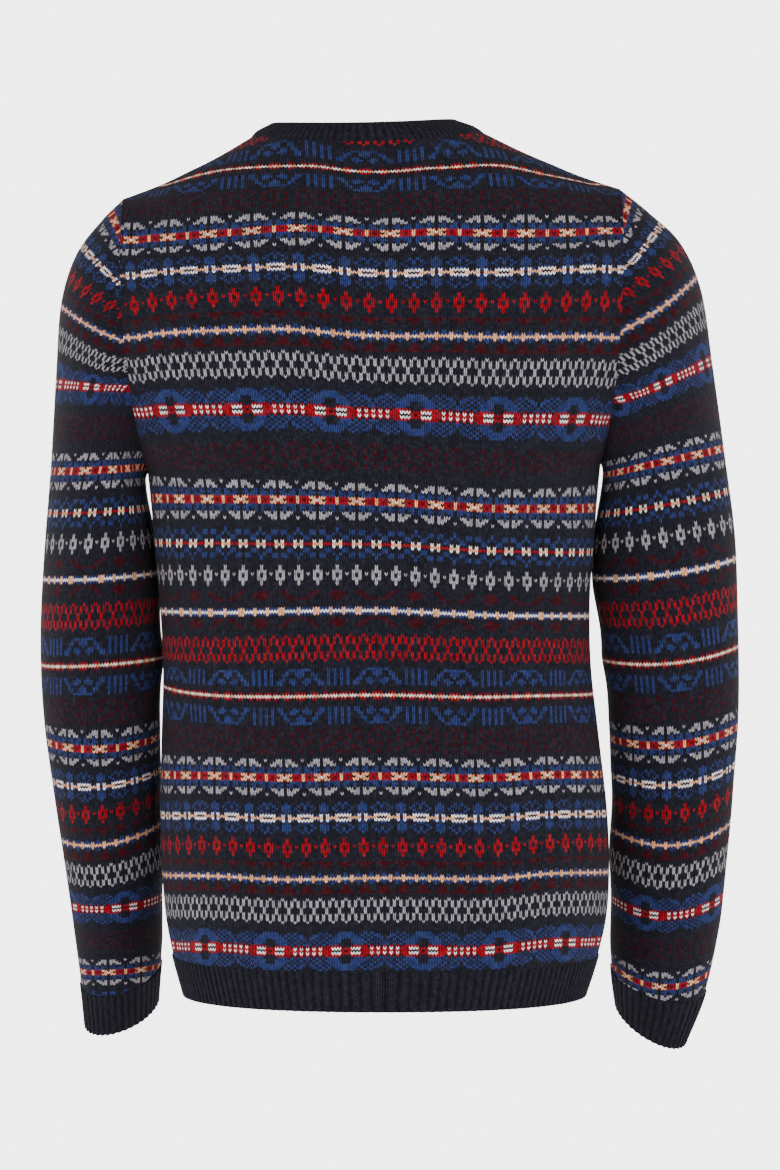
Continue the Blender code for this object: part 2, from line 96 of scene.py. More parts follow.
# Sections of the body: height, sideways lean of its middle, reach to a side, the back and the
# front, and how full it is, where less than 1 is squarer than an ellipse and more is leaner
Section = namedtuple("Section", "height middle half_width back front fullness")
BODY = (
    Section(-0.6780, -0.0108, 0.1588, 0.1080, 0.1120, 0.87),
    Section(-0.6465, -0.0115, 0.1680, 0.1125, 0.1165, 0.87),
    Section(-0.6150, -0.0120, 0.1745, 0.1165, 0.1195, 0.87),
    Section(-0.5750, -0.0115, 0.1770, 0.1175, 0.1205, 0.87),
    Section(-0.5300, -0.0100, 0.1765, 0.1160, 0.1190, 0.87),
    Section(-0.4700, -0.0070, 0.1725, 0.1120, 0.1170, 0.87),
    Section(-0.4200, -0.0048, 0.1690, 0.1100, 0.1160, 0.87),
    Section(-0.3700, -0.0032, 0.1695, 0.1120, 0.1180, 0.87),
    Section(-0.3300, -0.0028, 0.1725, 0.1150, 0.1210, 0.87),
    Section(-0.2615, -0.0025, 0.1785, 0.1190, 0.1240, 0.87),
    Section(-0.2100, -0.0020, 0.1860, 0.1210, 0.1220, 0.87),
    Section(-0.1550, -0.0013, 0.1930, 0.1190, 0.1165, 0.89),
    Section(-0.1000, -0.0008, 0.1950, 0.1120, 0.1090, 0.98),
    Section(-0.0460, -0.0004, 0.1950, 0.0970, 0.0990, 1.15),
    Section(0.0000, 0.0030, 0.0910, 0.0620, 0.0860, 0.87),
    Section(0.0150, 0.0075, 0.0715, 0.0550, 0.0740, 0.87),
)
RIB_TOP = BODY[1].height
NECK_FULLNESS = BODY[-2].fullness

# Rings of a sleeve, from the armhole to the end of the cuff. A ring is given by its outer
# and inner points seen from behind, its half depth and middle front to back, the angle by
# which its back edge dips as the arm comes forward, and how far its sides bow outwards.
Ring = namedtuple("Ring", "outer_x outer_z inner_x inner_z half_depth middle_y dip bow")
ARMHOLE = Ring(0.1950, -0.0460, 0.1785, -0.2615, 0.0660, 0.000, 0.0, 0.0055)
LEFT_SLEEVE = (
    ARMHOLE,
    Ring(0.2120, -0.0620, 0.1803, -0.2665, 0.0680, -0.001, 0.0, 0.0045),
    Ring(0.2325, -0.0880, 0.1803, -0.2740, 0.0695, -0.005, 0.0, 0.0030),
    Ring(0.2455, -0.1260, 0.1790, -0.2860, 0.0700, -0.011, 0.0, 0.0010),
    Ring(0.2510, -0.1820, 0.1760, -0.3030, 0.0690, -0.018, 1.0, 0.0000),
    Ring(0.2565, -0.2520, 0.1728, -0.3230, 0.0675, -0.024, 2.0, 0.0000),
    Ring(0.2630, -0.3260, 0.1700, -0.3550, 0.0655, -0.027, 4.0, 0.0000),
    Ring(0.2675, -0.4000, 0.1690, -0.4050, 0.0620, -0.028, 6.0, 0.0000),
    Ring(0.2675, -0.4600, 0.1730, -0.4600, 0.0580, -0.030, 10.0, 0.0000),
    Ring(0.2635, -0.5200, 0.1760, -0.5150, 0.0535, -0.036, 14.0, 0.0000),
    Ring(0.2577, -0.5800, 0.1775, -0.5700, 0.0480, -0.047, 18.0, 0.0000),
    Ring(0.2515, -0.6350, 0.1790, -0.6230, 0.0415, -0.061, 22.0, 0.0000),
    Ring(0.2463, -0.6790, 0.1820, -0.6640, 0.0350, -0.077, 24.0, 0.0000),
    Ring(0.2440, -0.7160, 0.1850, -0.6970, 0.0300, -0.094, 25.0, 0.0000),
)
RIGHT_SLEEVE = (
    ARMHOLE,
    Ring(0.2180, -0.0650, 0.1803, -0.2665, 0.0680, -0.001, 0.0, 0.0045),
    Ring(0.2435, -0.0900, 0.1803, -0.2740, 0.0690, -0.005, 0.0, 0.0030),
    Ring(0.2600, -0.1280, 0.1790, -0.2860, 0.0680, -0.011, 0.0, 0.0010),
    Ring(0.2690, -0.1880, 0.1760, -0.3050, 0.0640, -0.017, 1.0, 0.0000),
    Ring(0.2780, -0.2550, 0.1724, -0.3280, 0.0600, -0.022, 2.0, 0.0000),
    Ring(0.2870, -0.3260, 0.1722, -0.3600, 0.0570, -0.025, 4.0, 0.0000),
    Ring(0.2885, -0.4000, 0.1780, -0.4100, 0.0540, -0.027, 6.0, 0.0000),
    Ring(0.2865, -0.4600, 0.1808, -0.4600, 0.0520, -0.030, 10.0, 0.0000),
    Ring(0.2800, -0.5200, 0.1812, -0.5150, 0.0490, -0.036, 14.0, 0.0000),
    Ring(0.2735, -0.5800, 0.1790, -0.5700, 0.0450, -0.046, 18.0, 0.0000),
    Ring(0.2685, -0.6350, 0.1795, -0.6230, 0.0400, -0.061, 22.0, 0.0000),
    Ring(0.2600, -0.6850, 0.1835, -0.6670, 0.0345, -0.077, 24.0, 0.0000),
    Ring(0.2450, -0.7290, 0.1885, -0.7010, 0.0295, -0.094, 25.0, 0.0000),
)
CUFF_START = len(LEFT_SLEEVE) - 2

# Folds of the panels, as troughs (or ridges, where the depth is below zero) along lines
Fold = namedtuple("Fold", "face x_start z_start x_end z_end reach depth")
FOLDS = (
    Fold("back", 0.165, -0.275, 0.075, -0.345, 0.020, 0.0035),
    Fold("back", -0.168, -0.270, -0.085, -0.350, 0.020, 0.0040),
    Fold("back", 0.150, -0.470, 0.060, -0.520, 0.024, 0.0030),
    Fold("back", -0.150, -0.455, -0.050, -0.500, 0.024, 0.0030),
    Fold("front", 0.165, -0.280, 0.070, -0.330, 0.020, 0.0040),
    Fold("front", -0.165, -0.275, -0.070, -0.340, 0.020, 0.0035),
    Fold("front", 0.150, -0.500, 0.040, -0.540, 0.024, 0.0030),
    Fold("front", -0.150, -0.480, -0.060, -0.535, 0.024, 0.0030),
    Fold("back", 0.175, -0.205, 0.120, -0.150, 0.012, 0.0016),
    Fold("back", -0.176, -0.200, -0.128, -0.140, 0.013, 0.0018),
    Fold("back", 0.150, -0.325, 0.105, -0.385, 0.011, -0.0014),
    Fold("back", -0.155, -0.315, -0.098, -0.392, 0.012, -0.0015),
    Fold("back", 0.045, -0.060, 0.052, -0.150, 0.016, 0.0012),
    Fold("back", -0.050, -0.055, -0.058, -0.160, 0.017, 0.0013),
    Fold("back", 0.135, -0.410, 0.085, -0.440, 0.010, 0.0014),
    Fold("back", -0.140, -0.400, -0.080, -0.425, 0.011, 0.0015),
    Fold("back", 0.120, -0.560, 0.030, -0.590, 0.013, -0.0013),
    Fold("back", -0.115, -0.550, -0.020, -0.600, 0.014, 0.0013),
    Fold("front", 0.172, -0.210, 0.118, -0.155, 0.012, 0.0018),
    Fold("front", -0.174, -0.205, -0.122, -0.150, 0.013, 0.0017),
    Fold("front", 0.148, -0.330, 0.100, -0.390, 0.012, -0.0015),
    Fold("front", -0.150, -0.325, -0.096, -0.385, 0.011, -0.0014),
    Fold("front", 0.132, -0.415, 0.080, -0.445, 0.011, 0.0014),
    Fold("front", -0.136, -0.405, -0.075, -0.435, 0.010, 0.0015),
    Fold("front", 0.060, -0.120, 0.080, -0.200, 0.016, 0.0013),
    Fold("front", -0.062, -0.115, -0.085, -0.205, 0.016, 0.0013),
)

# Folds across a sleeve: its ring, the angle round the sleeve from its outer side, and size
Crease = namedtuple("Crease", "ring angle reach_rings reach_angle depth")
CREASES = (
    Crease(4.6, 110.0, 0.7, 38.0, 0.0035),
    Crease(6.6, 205.0, 0.6, 40.0, 0.0035),
    Crease(7.7, 215.0, 0.6, 45.0, 0.0040),
    Crease(9.2, 210.0, 0.6, 42.0, 0.0030),
    Crease(10.7, 160.0, 0.5, 48.0, 0.0025),
    Crease(3.4, 130.0, 0.32, 30.0, 0.0018),
    Crease(5.6, 150.0, 0.30, 34.0, 0.0017),
    Crease(7.1, 170.0, 0.26, 36.0, -0.0014),
    Crease(8.4, 150.0, 0.28, 34.0, 0.0018),
    Crease(9.7, 90.0, 0.30, 40.0, 0.0013),
    Crease(11.2, 100.0, 0.24, 55.0, 0.0014),
    Crease(11.2, 260.0, 0.24, 50.0, 0.0015),
    Crease(10.2, 290.0, 0.30, 40.0, 0.0015),
    Crease(8.7, 300.0, 0.34, 44.0, 0.0016),
    Crease(4.1, 250.0, 0.40, 36.0, 0.0022),
)

# Where rows of knitting lie on the back: the row, counted down from the first star band,
# and its height in millimetres above the hem's rib, from the wearer's right to the left
RowLine = namedtuple("RowLine", "row right half_right near_right middle near_left half_left left")
ACROSS = (-0.9, -0.5, -0.25, 0.0, 0.25, 0.5, 0.9)
BACK_ROWS = (
    RowLine(-34.0, 657.0, 649.9, 633.4, 622.5, 635.2, 647.5, 662.0),
    RowLine(0.0, 599.0, 579.9, 574.1, 567.8, 576.8, 579.5, 590.1),
    RowLine(30.0, 536.3, 521.2, 516.5, 512.0, 520.9, 524.4, 532.6),
    RowLine(75.0, 444.7, 433.2, 429.6, 428.7, 435.5, 439.6, 450.4),
    RowLine(112.0, 354.7, 356.1, 357.6, 361.4, 363.5, 363.2, 361.4),
    RowLine(129.0, 320.1, 322.6, 324.6, 328.7, 329.0, 328.9, 326.8),
    RowLine(171.0, 242.0, 246.0, 247.4, 249.5, 247.8, 245.3, 243.0),
    RowLine(191.0, 208.5, 211.3, 211.4, 212.9, 211.3, 211.0, 214.0),
    RowLine(224.0, 144.7, 149.4, 148.7, 150.7, 148.9, 148.6, 143.9),
    RowLine(254.0, 90.1, 95.5, 94.0, 95.6, 93.9, 93.8, 87.9),
    RowLine(299.0, 12.4, 18.8, 15.7, 16.8, 14.7, 15.1, 9.1),
)
ROW_HEIGHT = 1.85              # millimetres, above the first line and below the last
SHOULDER_ROW_HEIGHT = 2.9      # and above the first line out on the shoulders
SHOULDER_STARTS = 0.18         # how far across the back the rows begin to grow taller
SHOULDER_IS_FULL = 0.40
ROWS_ABOVE = 60.0              # rows counted on past the first line
ROWS_BELOW = 8.0               # and past the panel's lower edge

# Width of a stitch on the body and how far its middle stitch strays, in millimetres
Wale = namedtuple("Wale", "row width stray")
WALES = (
    Wale(0.0, 2.99, 3.6),
    Wale(75.0, 2.68, -0.3),
    Wale(112.0, 2.52, -2.2),
    Wale(224.0, 2.475, 0.9),
)

# Where rows of knitting lie on a sleeve: the row, and its height in millimetres on the outer
# side, the middle of the back and the inner side (where high rows run out into the armhole)
SleeveRow = namedtuple("SleeveRow", "row outer middle inner")
LEFT_ROWS = (
    SleeveRow(0.0, -60.1, -133.0, -205.9),
    SleeveRow(17.0, -86.6, -137.1, -187.7),
    SleeveRow(30.0, -111.5, -146.2, -180.8),
    SleeveRow(43.0, -134.3, -161.8, -189.3),
    SleeveRow(57.0, -158.2, -181.0, -203.8),
    SleeveRow(75.0, -196.6, -197.8, -198.9),
    SleeveRow(112.0, -265.2, -263.2, -261.1),
    SleeveRow(191.0, -419.4, -416.5, -412.9),
    SleeveRow(224.0, -480.0, -483.1, -476.9),
    SleeveRow(254.0, -536.0, -535.5, -523.9),
    SleeveRow(281.0, -585.8, -585.8, -570.7),
    SleeveRow(299.0, -614.4, -612.9, -609.1),
    SleeveRow(336.0, -669.4, -666.7, -665.9),
)
RIGHT_ROWS = (
    SleeveRow(0.0, -48.5, -134.3, -220.1),
    SleeveRow(17.0, -69.8, -134.4, -199.0),
    SleeveRow(30.0, -89.6, -137.4, -185.2),
    SleeveRow(43.0, -111.5, -153.9, -196.3),
    SleeveRow(57.0, -139.2, -172.8, -206.5),
    SleeveRow(75.0, -177.9, -197.9, -217.8),
    SleeveRow(112.0, -246.7, -257.1, -267.5),
    SleeveRow(191.0, -404.0, -415.2, -415.3),
    SleeveRow(224.0, -468.2, -479.8, -478.5),
    SleeveRow(254.0, -521.6, -536.5, -530.2),
    SleeveRow(281.0, -571.1, -587.6, -574.8),
    SleeveRow(299.0, -606.5, -619.4, -610.4),
    SleeveRow(336.0, -669.5, -679.6, -665.3),
)
LEAST_ROW = 0.9                # millimetres that a row of a sleeve is never flatter than

# How a sleeve's stitches lie: their width in millimetres, and how many stitches its middle
# is away from a star's centre above the first ring of a shift and below the last
SleeveWales = namedtuple("SleeveWales", "width upper_shift lower_shift")
LEFT_WALES = SleeveWales(2.36, 3.4, 0.0)
RIGHT_WALES = SleeveWales(2.45, 5.5, 3.0)
SHIFT_STARTS = 3.0             # rings from the armhole
SHIFT_ENDS = 8.0
STAR_MIDDLE = 6.5              # stitches from the repeat's edge to a star's middle

# The two sleeves, with the area of each one's cloth in square metres
Arm = namedtuple("Arm", "name side rings row_lines wales area")
ARMS = (
    Arm("left", 1.0, LEFT_SLEEVE, LEFT_ROWS, LEFT_WALES, 0.169),
    Arm("right", -1.0, RIGHT_SLEEVE, RIGHT_ROWS, RIGHT_WALES, 0.180),
)

# The chart. A motif starts at a row below a star's middle and repeats both ways from its
# centre stitch, and a mirrored motif is drawn down to its middle row. Letters are yarns.
YARNS = ".brmgtwk"
CHART_ROWS = 224
HALF_REPEAT = 12
Motif = namedtuple("Motif", "first centre mirrored rows")
STAR = (".gg...g", ".ggg...", ".g.gg..", "..b..b.", ".bb.bb.", "..bbbb.", "rttrrrt", "wtkrmrt")
DIAMOND = ("g...", "g...", "gg..", ".g.g", ".g..", "gg..", "g...", "g...")
CROSSES = ("..g", ".g.", ".g.", ".g.", "g..", "g..")
SPECKLE = (
    "....m......m.",
    ".m..m.m....m.",
    ".m....m..m...",
    "...m.....m..m",
    "m..m..m.....m",
    "m.....m..m...",
    "..m......m.m.",
    "..m.m......m.",
    "....m.m......",
    ".m....m..m..m",
    ".m.m.....m..m",
    "...m.........",
)
MOTIFS = (
    Motif(-7, 6, True, STAR),
    Motif(11, 6, True, ("b....b.", "bb..b.b", "bb.b..b", "bb..b..", "b....bb", "bwb.www", "mttttmk")),
    Motif(26, 0, False, tuple(row.replace("g", "r") for row in DIAMOND)),
    Motif(36, 0, False, ("mmm.", "mm..", "m...")),
    Motif(41, 0, True, ("b...b..", "bbtbbbt", "wtttttt")),
    Motif(46, 0, False, ("m...", "mm..", "mm..", "mmm.")),
    Motif(52, 2, True, CROSSES),
    Motif(
        67,
        0,
        True,
        (
            "bbb...b.b....",
            "bbbb.b.b.bb..",
            "bbbbb.b.b.bb.",
            "..bbbb.b.b.b.",
            "..bbbbb.b.b.b",
            "...bbb.b.b.bb",
            "..rrrrr.r.r.r",
            "rrwwwrrrwrwrw",
            "krkkkrrrrrrrr",
        ),
    ),
    Motif(88, 0, False, SPECKLE),
    Motif(105, 6, True, STAR),
    Motif(123, 6, True, ("......b", ".bb...b", ".bb..b.", "...bb..", "...bb..", ".w...w.", "ttrrrtt")),
    Motif(138, 0, False, DIAMOND),
    Motif(148, 0, False, ("mm....mm.....", "mmm....mm....", "mmm.....mm...", "mm.......mmm.")),
    Motif(155, 0, True, ("bbtbbbttbbbbt", "wwtwwwttwwwwt")),
    Motif(159, 0, False, ("mm.......mmm.", "mmm.....mm...", "mmm....mm....", "mm....mm.....")),
    Motif(166, 2, True, tuple(row.replace("g", "r") for row in CROSSES)),
    Motif(
        179,
        12,
        True,
        (
            ".............",
            "bbbb.....b.b.",
            "bb..b....b.b.",
            "bb..bb...b.b.",
            "b....b...b.b.",
            "..bb.bb..b.b.",
            ".bbb..bb.b.b.",
            "..b...bb.b.b.",
            ".............",
            ".............",
            "m...m...m...m",
            "rr..rr..r.rr.",
            "wttwwttwwtwwt",
        ),
    ),
    Motif(204, 0, False, SPECKLE[:11]),
)

# Yarn colours in the order of the letters above
YARN_COLOURS = (
    (0.0110, 0.0105, 0.0175),
    (0.0200, 0.0330, 0.1250),
    (0.2850, 0.0018, 0.0078),
    (0.0480, 0.0020, 0.0050),
    (0.3200, 0.2930, 0.3200),
    (0.8200, 0.4000, 0.2000),
    (0.9300, 0.8300, 0.8100),
    (0.0040, 0.0030, 0.0045),
)
RAMP_STOPS = 32                # the most that a colour ramp holds
RAMP_ROWS = RAMP_STOPS - 2     # the first and last stops stay black

# How light falls on the knit; the shade between stitches and the glint are painted into its colour
STITCH_SHADE = 0.12            # light that is left between stitches
STITCH_LIGHT = 1.15            # and what their crests add to it
FUZZ_SHADE = 0.55
FUZZ_LIGHT = 0.9
FUZZ_HEIGHT = 0.35             # against the height of the stitches
FUZZ_DETAIL = 3.0
FUZZ_ROUGHNESS = 0.6
# painted glint: cool light that a few stitches catch, added to their colour
GLINT = (0.0060, 0.0065, 0.0100)
GLINT_RARITY = 3.0             # power that leaves most stitches with little of it
SPECULAR = 0.08
SHEEN_ROUGHNESS = 0.5

# The ribbed edges
STITCHES_IN_RIB = 3.0
RIB_ROW_HEIGHT = 2.0           # millimetres
RIB_SHARPNESS = 0.7            # power that widens the crests of the ribs
GROOVE_SHARPNESS = 0.8         # and of the light on them
GROOVE_SHADE = 0.22            # painted shade: share of its light that the hollow between two ribs keeps

# The strands that float across the wrong side: their yarns, and where each one's share of
# the chances from 0 to 1 starts
FLOAT_LENGTH = 5.0             # stitches that a float passes behind
FLOAT_STEP = 0.37              # how far floats move along from one row to the next
FLOAT_YARNS = ".b.mg"
FLOAT_SHARES = (0.0, 0.52, 0.68, 0.86, 0.95)

# Where the outer and the inner face lie on the map made for baking
BakeBox = namedtuple("BakeBox", "left right low high")
OUTSIDE_BOX = BakeBox(0.010, 0.800, 0.010, 0.990)
INSIDE_BOX = BakeBox(0.830, 0.990, 0.010, 0.990)
RIM_MARGIN = 0.006

# The studio: each light with its place and its width in metres, then what stands round them
Light = namedtuple("Light", "name place size")
LIGHTS = (
    Light("key", (1.7, 2.6, 0.9), 1.6),
    Light("fill", (-2.0, 2.2, 0.1), 1.8),
    Light("top", (0.0, 0.3, 2.2), 1.6),
)
LIT_POINT = (-0.015, 0.0, -0.36)
FLOOR_SIDES = 96
FLOOR_RADIUS = 1.5
FLOOR_COLOUR = (0.85, 0.85, 0.85, 1.0)
FLOOR_ROUGHNESS = 0.9
BACKGROUND_COLOUR = (1.0, 1.0, 1.0, 1.0)
BACKGROUND_ENDS = 0.19         # how steep a view still sees the full background
DOME_STARTS = 0.32             # and how steep a view sees only the dome
CAMERA_PLACE = (-0.015, 3.4, -0.20)
CAMERA_TARGET = (-0.015, 0.0, -0.354)
SENSOR_WIDTH = 36.0            # millimetres
FOCAL_LENGTH = 132.55          # millimetres


def smoothstep(low, high, value):
    """Rise from 0 at low to 1 at high with level ends."""
    share = min(max((value - low) / (high - low), 0.0), 1.0)
    return share * share * (3.0 - 2.0 * share)


def slope_at(keys, values, index):
    """Slope of a smooth curve through a table at one of its rows."""
    low = max(index - 1, 0)
    high = min(index + 1, len(keys) - 1)
    return (values[high] - values[low]) / (keys[high] - keys[low])


def place_in(keys, wanted):
    """The row of a table below a wanted key, and the share of the way to the next row."""
    index = 0
    while index < len(keys) - 2 and wanted > keys[index + 1]:
        index += 1
    return index, (wanted - keys[index]) / (keys[index + 1] - keys[index])


def smooth_between(keys, values, wanted):
    """Read a table as one smooth curve that passes through its rows."""
    index, share = place_in(keys, min(max(wanted, keys[0]), keys[-1]))
    span = keys[index + 1] - keys[index]
    start_slope = slope_at(keys, values, index) * span
    end_slope = slope_at(keys, values, index + 1) * span
    square = share * share
    cube = square * share
    return (
        (2 * cube - 3 * square + 1) * values[index]
        + (cube - 2 * square + share) * start_slope
        + (3 * square - 2 * cube) * values[index + 1]
        + (cube - square) * end_slope
    )


def straight_between(keys, values, wanted):
    """Read a table along straight lines, which run on past its two ends."""
    index, share = place_in(keys, wanted)
    return values[index] + (values[index + 1] - values[index]) * share


def section_at(height):
    """The body's section at a height."""
    keys = [row.height for row in BODY]
    return Section(*(smooth_between(keys, column, height) for column in zip(*BODY)))


def ring_at(sleeve, place):
    """A sleeve's ring at a place between the rows of its table."""
    keys = range(len(sleeve))
    return Ring(*(smooth_between(keys, column, place) for column in zip(*sleeve)))


def ring_point(ring, angle):
    """A point of a ring, at an angle from its outer side round by the back."""
    outer = Vector((ring.outer_x, 0.0, ring.outer_z))
    inner = Vector((ring.inner_x, 0.0, ring.inner_z))
    dip = math.radians(ring.dip)
    across = (outer - inner) / 2.0
    backward = Vector((0.0, math.cos(dip), -math.sin(dip))) * ring.half_depth
    bow = Vector((ring.bow * math.sin(angle) ** 2, ring.middle_y, 0.0))
    middle = (outer + inner) / 2.0 + bow
    return middle + across * math.cos(angle) + backward * math.sin(angle)


def lean(point):
    """Lean the upright garment as it hangs: its middle wanders and its shoulders tilt."""
    tilt = LEAN * smoothstep(LEAN_STARTS, LEAN_IS_FULL, point.z)
    shifted = point.x + section_at(point.z).middle
    return Vector((shifted, point.y, point.z - tilt * point.x))


def mirrored(point, side):
    """The same point on the wearer's left (1) or right (-1)."""
    return Vector((point.x * side, point.y, point.z))


def armhole_inward(angle, towards_sleeve):
    """Which way the wall lies at the armhole's seam: -1 for the body, 1 for a sleeve."""
    turned = smoothstep(math.pi / 2.0, math.pi, angle)
    down = -math.cos(angle) * (1.0 - turned)
    return Vector((towards_sleeve * turned, -math.sin(angle), down)).normalized()


class Panel:
    """The back or the front: rows from the hem's rib to the neck, folded round the sides."""

    def __init__(self, face):
        self.face = face
        self.out = FACES[face].out
        self.neck_drop = FACES[face].neck_drop
        self.folds = [fold for fold in FOLDS if fold.face == face]

    def edge(self, row):
        """The end of a row on the wearer's left: side seam, armhole or shoulder seam."""
        underarm = ARMHOLE.inner_z
        if row <= BODY_ROWS:
            height = RIB_TOP + (underarm - RIB_TOP) * row / BODY_ROWS
            return Vector((section_at(height).half_width, 0.0, height))
        if row <= BODY_ROWS + ARMHOLE_ROWS:
            point = ring_point(ARMHOLE, math.pi * (1.0 - (row - BODY_ROWS) / ARMHOLE_ROWS))
            return Vector((point.x, abs(point.y), point.z))
        share = (row - BODY_ROWS - ARMHOLE_ROWS) / SHOULDER_ROWS
        tip = Vector((ARMHOLE.outer_x, 0.0, ARMHOLE.outer_z))
        sag = Vector((0.0, 0.0, SHOULDER_SAG * math.sin(share * math.pi)))
        return tip.lerp(Vector((NECK_HALF_WIDTH, 0.0, 0.0)), share) - sag

    def folded(self, x, z):
        """How deep the folds are at a place on the panel."""
        depth = 0.0
        for fold in self.folds:
            along_x = fold.x_end - fold.x_start
            along_z = fold.z_end - fold.z_start
            length = along_x * along_x + along_z * along_z
            share = ((x - fold.x_start) * along_x + (z - fold.z_start) * along_z) / length
            share = min(max(share, 0.0), 1.0)
            apart = math.hypot(
                x - fold.x_start - along_x * share, z - fold.z_start - along_z * share
            )
            depth += fold.depth * math.exp(-((apart / fold.reach) ** 2))
        return depth

    def point(self, across, row):
        """A point of the outer face: across from -1 to 1, row from the rib to the neck."""
        point = self.sliced(across, row)
        span = min(SHOULDER_ROUNDING, PANEL_ROWS - row, row - BODY_ROWS - ARMHOLE_ROWS / 2.0)
        if span <= 0.0:
            return point
        below = self.sliced(across, row - span)
        above = self.sliced(across, row + span)
        rounded = (below + point * 2.0 + above) / 4.0
        return rounded.lerp(point, abs(across) ** SIDE_FADE)

    def sliced(self, across, row):
        """A point of the outer face before the top of the shoulders is rounded."""
        end = self.edge(row)
        side = 1.0 if across >= 0.0 else -1.0
        section = section_at(end.z)
        reach = getattr(section, self.face)
        last = math.acos(min(end.y / reach, 1.0) ** (1.0 / section.fullness))
        angle = abs(across) * last
        wide = (math.sin(angle) / math.sin(last)) ** section.fullness
        deep = math.cos(angle) ** section.fullness if abs(across) < 1.0 else end.y / reach
        climb = smoothstep(ARMHOLE.inner_z, 0.0, end.z) if row > BODY_ROWS else 0.0
        x = side * end.x * wide
        z = end.z - self.neck_drop * climb * math.cos(across * math.pi / 2.0) ** 2
        fold = self.folded(x, z) * (1.0 - abs(across) ** SIDE_FADE)
        return Vector((x, self.out * (reach * deep - fold), z))

    def seam_inward(self, across, row):
        """Which way the wall lies at the panel's edges, or None inside them."""
        side = 1.0 if across >= 0.0 else -1.0
        at_side = abs(across) > 1.0 - NUDGE
        if at_side and row <= BODY_ROWS:
            return Vector((-side, 0.0, 0.0))
        if at_side and row <= BODY_ROWS + ARMHOLE_ROWS:
            way = armhole_inward(math.pi * (1.0 - (row - BODY_ROWS) / ARMHOLE_ROWS), -1.0)
            return Vector((way.x * side, way.y * self.out, way.z))
        if at_side and row < PANEL_ROWS - NUDGE:
            return Vector((-side * math.sin(SHOULDER_PITCH), 0.0, -math.cos(SHOULDER_PITCH)))
        if row > PANEL_ROWS - NUDGE:
            return neck_inward(across, self.out)
        return None


def neck_inward(across, out):
    """Which way the walls lie at the neck's seam: to the neck's middle and down."""
    angle = across * math.pi / 2.0
    return Vector((-math.sin(angle), -out * math.cos(angle), NECK_SEAM_FALL)).normalized()


def creased(place, angle):
    """How deep the folds of a sleeve are at a place on it."""
    depth = 0.0
    for crease in CREASES:
        along = (place - crease.ring) / crease.reach_rings
        turn = (math.degrees(angle) - crease.angle + 180.0) % 360.0 - 180.0
        around = turn / crease.reach_angle
        depth += crease.depth * math.exp(-along * along - around * around)
    return depth


def sleeve_angle(across):
    """The angle round a sleeve, from the underarm by the back to the underarm."""
    return math.pi - across * 2.0 * math.pi


def sleeve_point(rings, place, angle):
    """A point of a sleeve's outer face."""
    ring = ring_at(rings, place)
    point = ring_point(ring, angle)
    middle = (ring_point(ring, 0.0) + ring_point(ring, math.pi)) / 2.0
    return point + (middle - point).normalized() * creased(place, angle)


class Wire:
    """A shader value that takes part in sums as a number does."""

    def __init__(self, graph, socket):
        self.graph = graph
        self.socket = socket

    def sum_with(self, operation, *others):
        """This value and others through one Math node."""
        node = self.graph.add("ShaderNodeMath", {"operation": operation}, [self, *others])
        return Wire(self.graph, node.outputs[0])

    def __add__(self, other):
        return self.sum_with("ADD", other)

    __radd__ = __add__

    def __sub__(self, other):
        return self.sum_with("SUBTRACT", other)

    def __rsub__(self, other):
        return (self * -1.0) + other

    def __mul__(self, other):
        return self.sum_with("MULTIPLY", other)

    __rmul__ = __mul__

    def __truediv__(self, other):
        return self.sum_with("DIVIDE", other)

    def __pow__(self, other):
        return self.sum_with("POWER", other)

    def __rpow__(self, other):
        node = self.graph.add("ShaderNodeMath", {"operation": "POWER"}, [other, self])
        return Wire(self.graph, node.outputs[0])

    def floor(self):
        """The whole number below this value."""
        return self.sum_with("FLOOR")

    def fraction(self):
        """What is left above the whole number below this value."""
        return self.sum_with("FRACT")

    def magnitude(self):
        """This value without its sign."""
        return self.sum_with("ABSOLUTE")

    def sine(self):
        """Sine of this value in radians."""
        return self.sum_with("SINE")


class Graph:
    """The node tree of a material or of the world."""

    def __init__(self, owner, shader="Principled BSDF"):
        owner.use_nodes = True
        self.tree = owner.node_tree
        self.shader = self.tree.nodes[shader]

    def add(self, kind, settings=None, inputs=None):
        """Add a node with its settings, and fill its inputs by place or by name."""
        node = self.tree.nodes.new(kind)
        for setting, value in (settings or {}).items():
            setattr(node, setting, value)
        pairs = inputs.items() if isinstance(inputs, dict) else enumerate(inputs or [])
        for key, value in pairs:
            self.join(value, node.inputs[key])
        return node

    def join(self, value, socket):
        """Set a socket to a number or colour, or link a wire to it."""
        value = value.socket if isinstance(value, Wire) else value
        if isinstance(value, bpy.types.NodeSocket):
            self.tree.links.new(value, socket)
        else:
            socket.default_value = value

    def wire(self, node, output=0):
        """One output of a node as a wire."""
        return Wire(self, node.outputs[output])

    def random(self, place):
        """A random number for each place, given as three whole numbers."""
        cell = self.add("ShaderNodeCombineXYZ", None, place)
        settings = {"noise_dimensions": "3D"}
        noise = self.add("ShaderNodeTexWhiteNoise", settings, [cell.outputs[0]])
        return self.wire(noise, "Value")

    def ramp(self, factor, colours, positions):
        """A stepped colour ramp."""
        node = self.add("ShaderNodeValToRGB", None, [factor])
        ramp = node.color_ramp
        ramp.interpolation = "CONSTANT"
        ramp.elements[0].position = positions[0]
        ramp.elements[0].color = (*colours[0], 1.0)
        ramp.elements[1].position = positions[1]
        ramp.elements[1].color = (*colours[1], 1.0)
        for position, colour in zip(positions[2:], colours[2:]):
            ramp.elements.new(position).color = (*colour, 1.0)
        return node.outputs[0]


def chart_row(motif, line):
    """One line of a motif spread over the chart's columns, from 0 to HALF_REPEAT."""
    drawn = motif.rows[line]
    period = 2 * (len(drawn) - 1)
    letters = []
    for column in range(HALF_REPEAT + 1):
        apart = abs(column - motif.centre) % period
        letters.append(drawn[min(apart, period - apart)])
    return "".join(letters)


